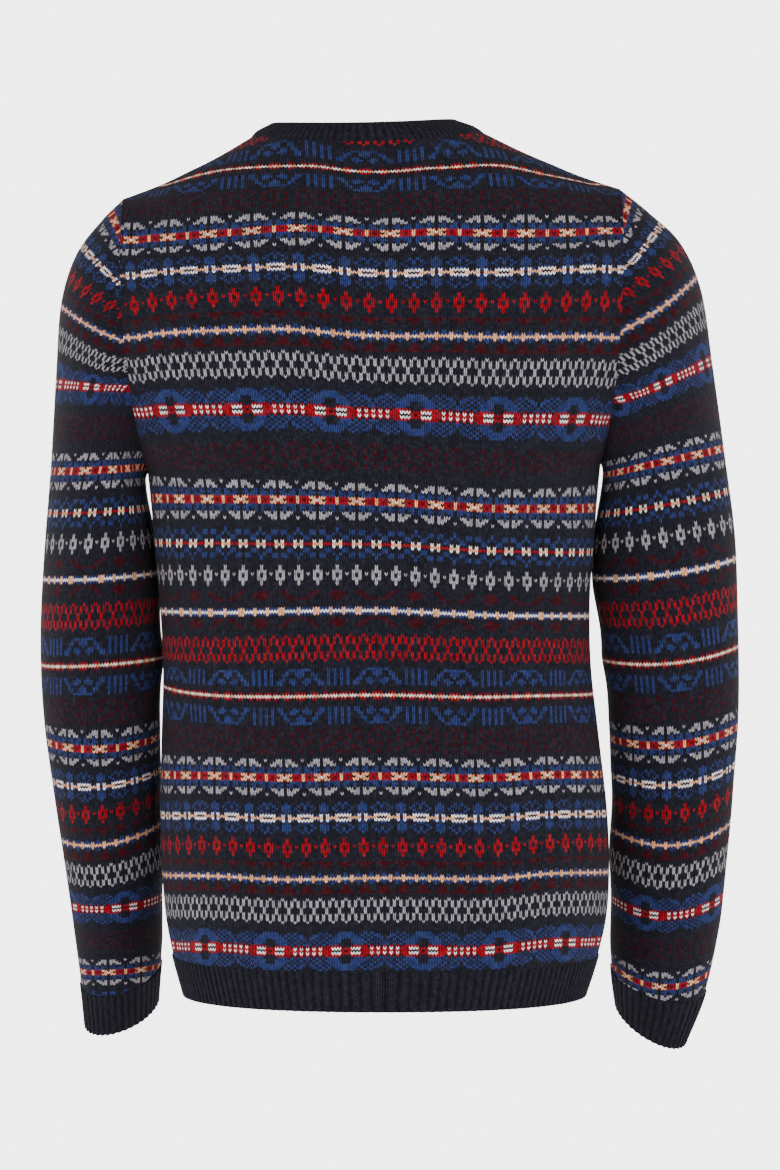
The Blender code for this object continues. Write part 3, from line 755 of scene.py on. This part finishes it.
def make_chart():
    """The whole chart as rows of letters, from a star's middle row down one repeat."""
    chart = ["." * (HALF_REPEAT + 1)] * CHART_ROWS
    for motif in MOTIFS:
        lines = list(range(len(motif.rows)))
        if motif.mirrored:
            lines += lines[-2::-1]
        for step, line in enumerate(lines):
            chart[(motif.first + step) % CHART_ROWS] = chart_row(motif, line)
    return chart


def row_masks(letters):
    """A chart row as three fractions, whose bits spell each column's yarn."""
    masks = [0.0, 0.0, 0.0]
    for column, letter in enumerate(letters):
        yarn = YARNS.index(letter)
        for bit in range(3):
            if yarn >> bit & 1:
                masks[bit] += 0.5 ** (column + 1)
    return tuple(masks)


class Stitches:
    """Where a shaded point lies in the knitting: its stitch, its row and its place in them."""

    ARM_RISE = 1.0             # rows that the arms of a stitch climb
    LEG_SHARPNESS = 1.3        # power that narrows the crests of its legs

    def __init__(self, graph):
        self.graph = graph
        lookup = graph.add("ShaderNodeUVMap", {"uv_map": GRID_MAP})
        parts = graph.add("ShaderNodeSeparateXYZ", None, [lookup.outputs[0]])
        self.across = graph.wire(parts, 0)
        self.up = graph.wire(parts, 1)
        self.stitch = self.across.floor()
        inside = self.across.fraction()
        arm = (inside * 2.0 - 1.0).magnitude()
        climbed = self.up - arm * self.ARM_RISE + 0.5
        self.row = climbed.floor()
        leg = (inside * (2.0 * math.pi)).sine().magnitude()
        link = (climbed.fraction() * math.pi).sine()
        self.relief = (leg**self.LEG_SHARPNESS) * (link * 0.5 + 0.5)

    def chance(self, seed):
        """A random number for each stitch."""
        return self.graph.random([self.stitch, self.row, seed])


def vector_sum(graph, operation, first, second=None, scale=None):
    """A Vector Math node of two vectors, or of a vector and a scale."""
    node = graph.add("ShaderNodeVectorMath", {"operation": operation}, [first])
    if second is not None:
        graph.join(second, node.inputs[1])
    if scale is not None:
        graph.join(scale, node.inputs["Scale"])
    return node.outputs[0]


def charted_yarn(graph, stitches):
    """The colour of each stitch's yarn, looked up in the chart."""
    chart = make_chart()
    half_repeat = float(HALF_REPEAT)
    down = (stitches.row * -1.0).sum_with("FLOORED_MODULO", float(CHART_ROWS))
    column = (stitches.stitch + half_repeat).sum_with("PINGPONG", half_repeat)
    masks = None
    for first in range(0, CHART_ROWS, RAMP_ROWS):
        rows = chart[first : first + RAMP_ROWS]
        colours = [(0.0, 0.0, 0.0)] + [row_masks(row) for row in rows] + [(0.0, 0.0, 0.0)]
        positions = [index / RAMP_STOPS for index in range(len(colours))]
        ramp = graph.ramp((down - float(first) + 1.5) / RAMP_STOPS, colours, positions)
        masks = ramp if masks is None else vector_sum(graph, "ADD", masks, ramp)
    half_bit = 0.5 ** (HALF_REPEAT + 2)
    masks = vector_sum(graph, "ADD", masks, (half_bit, half_bit, half_bit))
    shifted = vector_sum(graph, "SCALE", masks, scale=2.0 ** (column + 1.0))
    bits = vector_sum(graph, "MODULO", vector_sum(graph, "FLOOR", shifted), (2.0, 2.0, 2.0))
    dot = graph.add("ShaderNodeVectorMath", {"operation": "DOT_PRODUCT"}, [bits, (1.0, 2.0, 4.0)])
    yarn = graph.wire(dot, "Value")
    count = len(YARN_COLOURS)
    positions = [index / count for index in range(count)]
    return graph.ramp((yarn + 0.5) / count, YARN_COLOURS, positions)


def finish_knit(graph, colour, stitches, settings, painted_groove_shade=1.0):
    """Give a knitted material its heather, its relief, painted shade between its stitches and down its
    grooves, a painted glint and its soft sheen.
    """
    fibre_noise = graph.add(
        "ShaderNodeTexNoise",
        None,
        {"Scale": settings.fibre_scale, "Detail": FUZZ_DETAIL, "Roughness": FUZZ_ROUGHNESS},
    )
    coordinates = graph.add("ShaderNodeTexCoord")
    graph.join(coordinates.outputs["Object"], fibre_noise.inputs["Vector"])
    fibres = graph.wire(fibre_noise, 0)
    heather = stitches.chance(1.0) * settings.heather + (1.0 - settings.heather / 2.0)
    # painted light and shade: the stitches' crests lighter and the gaps between them darker
    crests = stitches.relief * STITCH_LIGHT + STITCH_SHADE
    shade = heather * crests * (fibres * FUZZ_LIGHT + FUZZ_SHADE)
    heathered_and_shaded = vector_sum(graph, "SCALE", colour, scale=shade * painted_groove_shade)
    # a painted glint on a few stitches
    glint = vector_sum(graph, "SCALE", GLINT, scale=stitches.chance(2.0) ** GLINT_RARITY)
    graph.join(vector_sum(graph, "ADD", heathered_and_shaded, glint), graph.shader.inputs["Base Color"])
    height = stitches.relief + fibres * FUZZ_HEIGHT
    bump = graph.add(
        "ShaderNodeBump",
        None,
        {"Strength": settings.relief, "Distance": settings.relief_depth, "Height": height},
    )
    graph.join(bump.outputs[0], graph.shader.inputs["Normal"])
    graph.shader.inputs["Roughness"].default_value = settings.roughness
    graph.shader.inputs["Sheen Weight"].default_value = settings.sheen
    graph.shader.inputs["Sheen Roughness"].default_value = SHEEN_ROUGHNESS
    graph.shader.inputs["Specular IOR Level"].default_value = SPECULAR


def fair_isle_material(graph, settings):
    """The stranded knit of the back, front and sleeves."""
    stitches = Stitches(graph)
    finish_knit(graph, charted_yarn(graph, stitches), stitches, settings)


def ribbed_material(graph, settings):
    """Ribbed knitting in one yarn, with shade painted darker down the grooves between the ribs."""
    stitches = Stitches(graph)
    yarn = graph.add("ShaderNodeRGB")
    yarn.outputs[0].default_value = (*settings.rib_colour, 1.0)
    rib = (stitches.across * (math.pi / STITCHES_IN_RIB)).sine().magnitude()
    # painted shade, darker down the grooves between the ribs
    painted_groove_shade = (rib**GROOVE_SHARPNESS) * (1.0 - GROOVE_SHADE) + GROOVE_SHADE
    finish_knit(graph, yarn.outputs[0], stitches, settings, painted_groove_shade)


def inside_material(graph, settings):
    """The wrong side of the stranded knit, where yarns float across behind the stitches."""
    stitches = Stitches(graph)
    strand = (stitches.across / FLOAT_LENGTH + stitches.row * FLOAT_STEP).floor()
    choice = graph.random([strand, stitches.row, 3.0])
    colours = [YARN_COLOURS[YARNS.index(yarn)] for yarn in FLOAT_YARNS]
    finish_knit(graph, graph.ramp(choice, colours, FLOAT_SHARES), stitches, settings)


def add_object(name, data):
    """An object of the scene from its mesh, light or camera."""
    thing = bpy.data.objects.new(name, data)
    bpy.context.scene.collection.objects.link(thing)
    return thing


def boxed(box, share_across, share_up):
    """A point of a bake box."""
    across = box.left + (box.right - box.left) * share_across
    return across, box.low + (box.high - box.low) * share_up


def rim_place(share_across, share_up, is_inner):
    """A point of the rim on the bake map, just outside the outer face's box."""
    across, up = boxed(OUTSIDE_BOX, share_across, share_up)
    if is_inner:
        across += RIM_MARGIN * ((share_across > 1.0 - NUDGE) - (share_across < NUDGE))
        up += RIM_MARGIN * ((share_up > 1.0 - NUDGE) - (share_up < NUDGE))
    return across, up


class Cloth:
    """One knitted piece as a thin wall on a grid, with its stitches and rows mapped."""

    facing = 1.0               # -1 where across and up make a left-hand turn into the cloth

    def __init__(self, name, columns, rows, wall):
        self.name = name
        self.columns = columns
        self.rows = rows
        self.wall = wall

    def spread(self, column):
        """Share of the way across at a column, with the columns closer at both ends."""
        plain = column / self.columns * 2.0 - 1.0
        return ((1.0 + EDGE_CROWDING) * plain - EDGE_CROWDING * plain**3) / 2.0 + 0.5

    def point(self, across, up):
        """A point of the outer face, by its shares of the way across and up."""
        raise NotImplementedError

    def inward(self, across, up):
        """Which way the wall lies at a seam, or None where it is square to the cloth."""
        return None

    def grid_points(self):
        """The outer face's points, as a list of rows."""
        grid = []
        for row in range(self.rows + 1):
            up = row / self.rows
            line = [self.point(self.spread(column), up) for column in range(self.columns + 1)]
            grid.append(line)
        return grid

    def wall_way(self, grid, column, row):
        """Which way the wall lies at a point of the grid."""
        given = self.inward(self.spread(column), row / self.rows)
        if given is not None:
            return given
        left = grid[row][max(column - 1, 0)]
        right = grid[row][min(column + 1, self.columns)]
        below = grid[max(row - 1, 0)][column]
        above = grid[min(row + 1, self.rows)][column]
        return (right - left).cross(above - below).normalized() * self.facing

    def place_of(self, vertex, is_inner):
        """A vertex of the flat grid as its column, its row and whether it is inside."""
        column = round((vertex.co.x + 1.0) * self.columns / 2.0)
        row = round((vertex.co.y + 1.0) * self.rows / 2.0)
        return column, row, is_inner

    def build(self, outside, inside):
        """Make the piece, give it its maps and materials, and return it."""
        grid = self.grid_points()
        bm = bmesh.new()
        bmesh.ops.create_grid(bm, x_segments=self.columns, y_segments=self.rows, size=1.0)
        places = {vertex: self.place_of(vertex, False) for vertex in bm.verts}
        made = bmesh.ops.extrude_face_region(bm, geom=bm.faces[:], use_keep_orig=True)
        for item in made["geom"]:
            if isinstance(item, bmesh.types.BMVert):
                places[item] = self.place_of(item, True)
        self.map_faces(bm, places, self.stitch_grid(grid))
        for vertex, (column, row, is_inner) in places.items():
            vertex.co = grid[row][column]
            if is_inner:
                vertex.co = vertex.co + self.wall_way(grid, column, row) * self.wall
        bmesh.ops.recalc_face_normals(bm, faces=bm.faces[:])
        mesh = bpy.data.meshes.new(self.name)
        bm.to_mesh(mesh)
        bm.free()
        mesh.materials.append(outside)
        mesh.materials.append(inside)
        mesh.shade_smooth()
        mesh.set_sharp_from_angle(angle=SHARP_ANGLE)
        return add_object(self.name, mesh)

    def stitch_grid(self, grid):
        """Stitches across and rows up at every point of the grid."""
        raise NotImplementedError

    def map_faces(self, bm, places, stitches):
        """Write both maps, and give the inner face its own material."""
        knit = bm.loops.layers.uv.new(GRID_MAP)
        bake = bm.loops.layers.uv.new(BAKE_MAP)
        for face in bm.faces:
            layers = {places[loop.vert][2] for loop in face.loops}
            face.material_index = 1 if layers == {True} else 0
            for loop in face.loops:
                column, row, is_inner = places[loop.vert]
                loop[knit].uv = stitches[row][column]
                share = (self.spread(column), row / self.rows)
                if layers == {False}:
                    loop[bake].uv = boxed(OUTSIDE_BOX, *share)
                elif layers == {True}:
                    loop[bake].uv = boxed(INSIDE_BOX, *share)
                else:
                    loop[bake].uv = rim_place(*share, is_inner)


def lengths_along(points):
    """How far each point of a line is from its start, in millimetres."""
    total = [0.0]
    for start, end in zip(points, points[1:]):
        total.append(total[-1] + (end - start).length * 1000.0)
    return total


class PanelCloth(Cloth):
    """The back or the front."""

    def __init__(self, face, settings):
        super().__init__(
            face + "_panel_knit", settings.panel_columns, settings.panel_rows, settings.wall
        )
        self.panel = Panel(face)
        self.facing = self.panel.out

    def point(self, across, up):
        return lean(self.panel.point(across * 2.0 - 1.0, up * PANEL_ROWS))

    def inward(self, across, up):
        return self.panel.seam_inward(across * 2.0 - 1.0, up * PANEL_ROWS)

    def row_heights(self, across):
        """Heights of the charted rows on a line up the panel, lowest first."""
        if self.panel.face == "front":
            share = (across + 1.0) / 2.0
            ends = [(line.row, line.right + (line.left - line.right) * share) for line in BACK_ROWS]
        else:
            ends = [(line.row, smooth_between(ACROSS, line[1:], across)) for line in BACK_ROWS]
        ends.reverse()
        rows = [row for row, _ in ends]
        heights = [height for _, height in ends]
        rows = [rows[0] + heights[0] / ROW_HEIGHT + ROWS_BELOW, *rows, rows[-1] - ROWS_ABOVE]
        lowest = heights[0] - (rows[0] - rows[1]) * ROW_HEIGHT
        outward = smoothstep(SHOULDER_STARTS, SHOULDER_IS_FULL, abs(across))
        top_row = ROW_HEIGHT + (SHOULDER_ROW_HEIGHT - ROW_HEIGHT) * outward
        return rows, [lowest, *heights, heights[-1] + ROWS_ABOVE * top_row]

    def level_edges(self, grid, rows_up):
        """Run the rows on level from the last measured line to the panel's edges."""
        measured = [
            column
            for column in range(self.columns + 1)
            if abs(self.spread(column) * 2.0 - 1.0) <= ACROSS[-1]
        ]
        for column in range(self.columns + 1):
            nearest = min(max(column, measured[0]), measured[-1])
            if nearest != column:
                heights = [line[nearest].z for line in grid]
                rows_up[column] = [
                    straight_between(heights, rows_up[nearest], line[column].z) for line in grid
                ]

    def stitch_grid(self, grid):
        middle = self.columns // 2
        columns = list(zip(*grid))
        rows_up = []
        for column, line in enumerate(columns):
            rows, heights = self.row_heights(self.spread(column) * 2.0 - 1.0)
            rows_up.append([-straight_between(heights, rows, at) for at in lengths_along(line)])
        self.level_edges(grid, rows_up)
        result = []
        for row, line in enumerate(grid):
            along = lengths_along(line)
            down = -rows_up[middle][row]
            keys = [wale.row for wale in WALES]
            width = smooth_between(keys, [wale.width for wale in WALES], down)
            stray = smooth_between(keys, [wale.stray for wale in WALES], down)
            if self.panel.face == "front":
                stray = 0.0
            result.append(
                [
                    ((along[column] - along[middle] - stray) / width + 0.5, rows_up[column][row])
                    for column in range(self.columns + 1)
                ]
            )
        return result


class SleeveCloth(Cloth):
    """A sleeve, rolled into a tube and sewn along the underarm."""

    def __init__(self, arm, settings):
        super().__init__(
            arm.name + "_sleeve_knit", settings.sleeve_columns, settings.sleeve_rows, settings.wall
        )
        self.arm = arm
        self.facing = arm.side

    def point(self, across, up):
        place = CUFF_START * (1.0 - up)
        point = sleeve_point(self.arm.rings, place, sleeve_angle(across))
        return lean(mirrored(point, self.arm.side))

    def inward(self, across, up):
        if up < 1.0 - NUDGE:
            return None
        angle = sleeve_angle(across)
        way = armhole_inward(abs(angle), 1.0)
        return Vector((way.x * self.arm.side, way.y if angle >= 0.0 else -way.y, way.z))

    def row_at(self, height, angle):
        """The row of knitting at a height on the sleeve's back, counted up."""
        turn = math.cos(angle)
        rows = []
        heights = []
        for line in reversed(self.arm.row_lines):
            even = (line.outer + line.inner) / 2.0
            level = line.middle + (line.outer - line.inner) / 2.0 * turn
            level += (even - line.middle) * turn * turn
            if heights:
                level = max(level, heights[-1] + (rows[-1] - line.row) * LEAST_ROW)
            rows.append(line.row)
            heights.append(level)
        return -straight_between(heights, rows, height)

    def stitch_grid(self, grid):
        wales = self.arm.wales
        quarter = self.columns // 4
        result = []
        for row, line in enumerate(grid):
            place = CUFF_START * (1.0 - row / self.rows)
            along = lengths_along(line)
            back = along[quarter]
            shift = wales.upper_shift
            shift += (wales.lower_shift - shift) * smoothstep(SHIFT_STARTS, SHIFT_ENDS, place)
            stitches = []
            for column in range(self.columns + 1):
                count = (along[column] - back) / wales.width
                twin = min(column, self.columns - column)
                angle = sleeve_angle(self.spread(twin))
                rows_up = self.row_at(line[twin].z * 1000.0, angle)
                stitches.append((count + shift + STAR_MIDDLE, rows_up))
            result.append(stitches)
        return result


class RibCloth(Cloth):
    """A ribbed edge: a strip of upright ribs whose outer face stands up and down."""

    def __init__(self, name, ribs, rows, rise, settings):
        super().__init__(name, ribs * settings.rib_columns, rows, settings.rib_wall)
        self.ribs = ribs
        self.rise = rise

    def spread(self, column):
        return column / self.columns

    def rib(self, across, up):
        """How far the ribs stand out at a place."""
        wave = 0.5 - 0.5 * math.cos(2.0 * math.pi * across * self.ribs)
        return self.rise * wave**RIB_SHARPNESS

    def facing_at(self, across, up):
        """The plain outer face and which way it looks."""
        raise NotImplementedError

    def point(self, across, up):
        point, look = self.facing_at(across, up)
        return lean(point + look * self.rib(across, up))

    def inward(self, across, up):
        _, look = self.facing_at(across, up)
        return -look

    def stitch_grid(self, grid):
        columns = list(zip(*grid))
        heights = lengths_along(columns[0])
        return [
            [
                (column / self.columns * self.ribs * STITCHES_IN_RIB, height / RIB_ROW_HEIGHT)
                for column in range(self.columns + 1)
            ]
            for height in heights
        ]


class HemRibCloth(RibCloth):
    """The rib below the back or the front."""

    def __init__(self, face, settings):
        name = face + "_hem_rib_knit"
        super().__init__(name, settings.hem_ribs, HEM_MESH_ROWS, settings.rib_rise, settings)
        self.face = face

    def facing_at(self, across, up):
        place = across * 2.0 - 1.0
        height = RIB_TOP - HEM_RIB_DEPTH * (1.0 - up)
        section = section_at(height)
        reach = getattr(section, self.face)
        out = FACES[self.face].out
        angle = place * math.pi / 2.0
        wide = math.copysign(abs(math.sin(angle)) ** section.fullness, angle)
        deep = max(math.cos(angle), 0.0) ** section.fullness
        point = Vector((section.half_width * wide, out * reach * deep, height))
        look = Vector((math.sin(angle) * reach, out * math.cos(angle) * section.half_width, 0.0))
        return point, look.normalized()


class CuffCloth(RibCloth):
    """The rib at the end of a sleeve."""

    def __init__(self, arm, settings):
        name = arm.name + "_cuff_knit"
        super().__init__(name, settings.cuff_ribs, CUFF_MESH_ROWS, settings.rib_rise, settings)
        self.arm = arm

    def facing_at(self, across, up):
        place = CUFF_START + 1.0 - up
        angle = sleeve_angle(across)
        point = sleeve_point(self.arm.rings, place, angle)
        opposite = sleeve_point(self.arm.rings, place, angle + math.pi)
        look = (point - opposite).normalized()
        return mirrored(point, self.arm.side), mirrored(look, self.arm.side)


class NeckbandCloth(RibCloth):
    """The band round the neck, from the left shoulder by the back to the left shoulder."""

    def __init__(self, settings):
        rise = settings.neck_rib_rise
        super().__init__("neckband_knit", settings.neck_ribs, NECK_MESH_ROWS, rise, settings)
        self.panels = {face: Panel(face) for face in FACES}

    def rib(self, across, up):
        return super().rib(across, up) * min(1.0, SEAM_RIB + up * RIB_GROWTH)

    def facing_at(self, across, up):
        turn = across * NECK_QUARTERS
        panel = self.panels["back" if turn <= 2.0 else "front"]
        shape = FACES[panel.face]
        place = 1.0 - turn if turn <= 2.0 else turn - 3.0
        angle = place * math.pi / 2.0
        middle = math.cos(angle) ** 2
        rise = BAND_RISE + (BAND_MIDDLE_RISE - BAND_RISE) * middle
        wide = math.copysign(abs(math.sin(angle)) ** NECK_FULLNESS, angle)
        deep = max(math.cos(angle), 0.0) ** NECK_FULLNESS
        rim = Vector(
            (
                (NECK_HALF_WIDTH - BAND_LEAN) * wide,
                shape.out * (shape.neck_depth - shape.band_lean) * deep,
                rise - shape.neck_drop * middle,
            )
        )
        upright = Vector((-math.sin(angle), -shape.out * math.cos(angle), 0.0))
        way = neck_inward(place, shape.out).lerp(upright, up).normalized()
        bulge = BAND_BULGE * math.sin(math.pi * min(up * BULGE_RATE, 1.0))
        return panel.point(place, PANEL_ROWS).lerp(rim, up) - way * bulge, -way


def metres(name, description, default, low, high):
    """A setting in metres."""
    return bpy.props.FloatProperty(
        name=name, description=description, default=default, min=low, max=high,
        precision=4, unit="LENGTH",
    )


def whole(name, description, default, low, high):
    """A setting in whole numbers."""
    return bpy.props.IntProperty(
        name=name, description=description, default=default, min=low, max=high,
        subtype="UNSIGNED",
    )


def slider(name, description, default, low=0.0, high=1.0):
    """A setting without a unit, shown as a slider."""
    return bpy.props.FloatProperty(
        name=name, description=description, default=default, min=low, max=high,
        subtype="FACTOR",
    )


def watts(name, description, default):
    """A light's power in watts."""
    return bpy.props.FloatProperty(
        name=name, description=description, default=default, min=0.0, max=1000.0, unit="POWER",
    )


class JumperClothSettings(bpy.types.PropertyGroup):
    """How the pieces of the jumper are meshed."""

    wall: metres("Wall", "Thickness of the patterned cloth", 0.0022, 0.0005, 0.004)
    rib_wall: metres(
        "Rib wall", "Thickness of the ribbed cloth between two ribs", 0.0026, 0.0005, 0.004
    )
    rib_rise: metres(
        "Rib rise", "How far a rib of the hem or cuffs stands out", 0.0013, 0.0, 0.003
    )
    neck_rib_rise: metres(
        "Neck rib rise", "How far a rib of the neckband stands out", 0.0009, 0.0, 0.003
    )
    panel_columns: whole(
        "Panel columns", "Mesh columns across the back and the front", 120, 20, 200
    )
    panel_rows: whole("Panel rows", "Mesh rows up the back and the front", 150, 25, 250)
    sleeve_columns: whole("Sleeve columns", "Mesh columns round a sleeve", 100, 20, 200)
    sleeve_rows: whole("Sleeve rows", "Mesh rows along a sleeve", 132, 12, 240)
    rib_columns: whole("Rib columns", "Mesh columns to each rib", 6, 4, 12)
    hem_ribs: whole("Hem ribs", "Ribs below the back, and again below the front", 76, 8, 120)
    cuff_ribs: whole("Cuff ribs", "Ribs round a cuff", 38, 8, 80)
    neck_ribs: whole("Neck ribs", "Ribs round the neckband", 104, 16, 160)


class JumperYarnSettings(bpy.types.PropertyGroup):
    """How the yarn looks."""

    heather: slider("Heather", "How much the shade changes from stitch to stitch", 0.6)
    relief: slider("Relief", "Strength of the relief of the stitches", 0.55)
    relief_depth: metres("Relief depth", "Depth of the relief of the stitches", 0.0008, 0.0, 0.003)
    fibre_scale: slider("Fibre scale", "Fineness of the fuzz in the yarn", 900.0, 50.0, 3000.0)
    roughness: slider("Roughness", "Roughness of the yarn", 0.88)
    sheen: slider("Sheen", "Soft light that the fuzz catches at its edges", 0.02)
    rib_colour: bpy.props.FloatVectorProperty(
        name="Rib colour", description="Yarn of the ribbed edges",
        default=(0.0140, 0.0132, 0.0215), min=0.0, max=1.0, subtype="COLOR",
    )


class JumperStageSettings(bpy.types.PropertyGroup):
    """The studio round the jumper."""

    background: slider(
        "Background", "Brightness of the pale background round the jumper", 4.5, 0.0, 12.0
    )
    dome: slider("Dome", "Brightness of the studio above and below the background", 0.35, 0.0, 3.0)
    key_power: watts("Key light", "Power of the large soft light on the camera's side", 11.0)
    fill_power: watts("Fill light", "Power of the soft light on the other side", 6.0)
    top_power: watts("Top light", "Power of the soft light from above", 6.0)
    floor_level: metres(
        "Floor", "Height of the studio floor below the shoulders", -1.25, -3.0, -0.75
    )


def shared_material(name, make):
    """A material that several pieces share, made the first time it is asked for."""
    material = bpy.data.materials.get(name)
    if not material:
        material = bpy.data.materials.new(name)
        make(Graph(material), bpy.context.scene.jumper_yarn)
    return material


def knit_materials():
    """The outer and inner materials of the patterned pieces."""
    outside = shared_material("fair_isle_knit", fair_isle_material)
    return outside, shared_material("fair_isle_inside", inside_material)


def rib_material():
    """The material of the ribbed edges."""
    return shared_material("ribbed_yarn", ribbed_material)


def dress(piece, node):
    """Attach a piece to the root and hide the solid that it stands for."""
    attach(piece, "root")
    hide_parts(node)


class JUMPER_OT_panels(bpy.types.Operator):
    """Knit the back and the front"""

    bl_idname = "jumper.panels"
    bl_label = "Back and front"

    def execute(self, context):
        outside, inside = knit_materials()
        for face, shape in FACES.items():
            piece = PanelCloth(face, context.scene.jumper_cloth).build(outside, inside)
            dress(piece, face + "_panel")
        return {"FINISHED"}


class JUMPER_OT_sleeves(bpy.types.Operator):
    """Knit the two sleeves"""

    bl_idname = "jumper.sleeves"
    bl_label = "Sleeves"

    def execute(self, context):
        outside, inside = knit_materials()
        for arm in ARMS:
            piece = SleeveCloth(arm, context.scene.jumper_cloth).build(outside, inside)
            node = arm.name + "_sleeve"
            dress(piece, node)
        return {"FINISHED"}


class JUMPER_OT_hem_ribs(bpy.types.Operator):
    """Knit the ribbed hem"""

    bl_idname = "jumper.hem_ribs"
    bl_label = "Hem ribs"

    def execute(self, context):
        rib = rib_material()
        for face in FACES:
            piece = HemRibCloth(face, context.scene.jumper_cloth).build(rib, rib)
            dress(piece, face + "_hem_rib")
        return {"FINISHED"}


class JUMPER_OT_cuffs(bpy.types.Operator):
    """Knit the two cuffs"""

    bl_idname = "jumper.cuffs"
    bl_label = "Cuffs"

    def execute(self, context):
        rib = rib_material()
        for arm in ARMS:
            piece = CuffCloth(arm, context.scene.jumper_cloth).build(rib, rib)
            dress(piece, arm.name + "_cuff")
        return {"FINISHED"}


class JUMPER_OT_neckband(bpy.types.Operator):
    """Knit the ribbed neckband"""

    bl_idname = "jumper.neckband"
    bl_label = "Neckband"

    def execute(self, context):
        rib = rib_material()
        piece = NeckbandCloth(context.scene.jumper_cloth).build(rib, rib)
        dress(piece, "neckband")
        return {"FINISHED"}


def aim(thing, target):
    """Turn a light or a camera towards a point."""
    way = Vector(target) - thing.location
    thing.rotation_euler = way.to_track_quat("-Z", "Y").to_euler()


def add_floor(stage):
    """A pale round floor."""
    bm = bmesh.new()
    bmesh.ops.create_circle(bm, cap_ends=True, segments=FLOOR_SIDES, radius=FLOOR_RADIUS)
    for vertex in bm.verts:
        vertex.co.z = stage.floor_level
    mesh = bpy.data.meshes.new("studio_floor")
    bm.to_mesh(mesh)
    bm.free()
    pale = bpy.data.materials.new("studio_floor_pale")
    graph = Graph(pale)
    graph.shader.inputs["Base Color"].default_value = FLOOR_COLOUR
    graph.shader.inputs["Roughness"].default_value = FLOOR_ROUGHNESS
    mesh.materials.append(pale)
    add_object("studio_floor", mesh)


def add_light(light, power):
    """A large soft light."""
    name = light.name + "_light"
    lamp = bpy.data.lights.new(name, "AREA")
    lamp.shape = "DISK"
    lamp.size = light.size
    lamp.energy = power
    thing = add_object(name, lamp)
    thing.location = light.place
    aim(thing, LIT_POINT)


def add_world(stage):
    """A pale background at eye level that fades into a dimmer dome above and below."""
    world = bpy.data.worlds.new("studio")
    graph = Graph(world, "Background")
    way = graph.add("ShaderNodeTexCoord")
    parts = graph.add("ShaderNodeSeparateXYZ", None, [way.outputs["Generated"]])
    strength = graph.add(
        "ShaderNodeMapRange",
        {"interpolation_type": "SMOOTHSTEP"},
        {
            "Value": graph.wire(parts, "Z").magnitude(),
            "From Min": BACKGROUND_ENDS,
            "From Max": DOME_STARTS,
            "To Min": stage.background,
            "To Max": stage.dome,
        },
    )
    graph.join(BACKGROUND_COLOUR, graph.shader.inputs["Color"])
    graph.join(strength.outputs[0], graph.shader.inputs["Strength"])
    bpy.context.scene.world = world


def add_camera():
    """A long lens from behind the wearer."""
    lens = bpy.data.cameras.new("camera")
    lens.sensor_width = SENSOR_WIDTH
    lens.lens = FOCAL_LENGTH
    camera = add_object("camera", lens)
    camera.location = CAMERA_PLACE
    aim(camera, CAMERA_TARGET)
    bpy.context.scene.camera = camera


class JUMPER_OT_stage(bpy.types.Operator):
    """Set up the floor, the lights and the camera"""

    bl_idname = "jumper.stage"
    bl_label = "Stage"

    def execute(self, context):
        stage = context.scene.jumper_stage
        add_floor(stage)
        for light in LIGHTS:
            add_light(light, getattr(stage, light.name + "_power"))
        add_world(stage)
        add_camera()
        return {"FINISHED"}


class JUMPER_PT_panel(bpy.types.Panel):
    """The jumper's settings in the sidebar"""

    bl_label = "Jumper"
    bl_space_type = "VIEW_3D"
    bl_region_type = "UI"
    bl_category = "Jumper"

    def draw(self, context):
        for settings in GROUPS:
            group = getattr(context.scene, settings)
            column = self.layout.column(align=True)
            for name in group.__annotations__:
                column.prop(group, name)
        for operator in OPERATORS:
            self.layout.operator(operator.bl_idname)


OPERATORS = (
    JUMPER_OT_panels,
    JUMPER_OT_sleeves,
    JUMPER_OT_hem_ribs,
    JUMPER_OT_cuffs,
    JUMPER_OT_neckband,
    JUMPER_OT_stage,
)
GROUPS = {
    "jumper_cloth": JumperClothSettings,
    "jumper_yarn": JumperYarnSettings,
    "jumper_stage": JumperStageSettings,
}


def register():
    """Add the settings, operators and sidebar panel to Blender."""
    for name, group in GROUPS.items():
        bpy.utils.register_class(group)
        setattr(bpy.types.Scene, name, bpy.props.PointerProperty(type=group))
    for operator in OPERATORS:
        bpy.utils.register_class(operator)
    bpy.utils.register_class(JUMPER_PT_panel)


def unregister():
    """Take them out again."""
    bpy.utils.unregister_class(JUMPER_PT_panel)
    for operator in reversed(OPERATORS):
        bpy.utils.unregister_class(operator)
    for name, group in GROUPS.items():
        delattr(bpy.types.Scene, name)
        bpy.utils.unregister_class(group)


def main():
    """Make the jumper and its studio."""
    register()
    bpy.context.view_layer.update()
    bpy.ops.jumper.panels()
    bpy.ops.jumper.sleeves()
    bpy.ops.jumper.hem_ribs()
    bpy.ops.jumper.cuffs()
    bpy.ops.jumper.neckband()
    bpy.ops.jumper.stage()


if __name__ == "__main__":
    main()
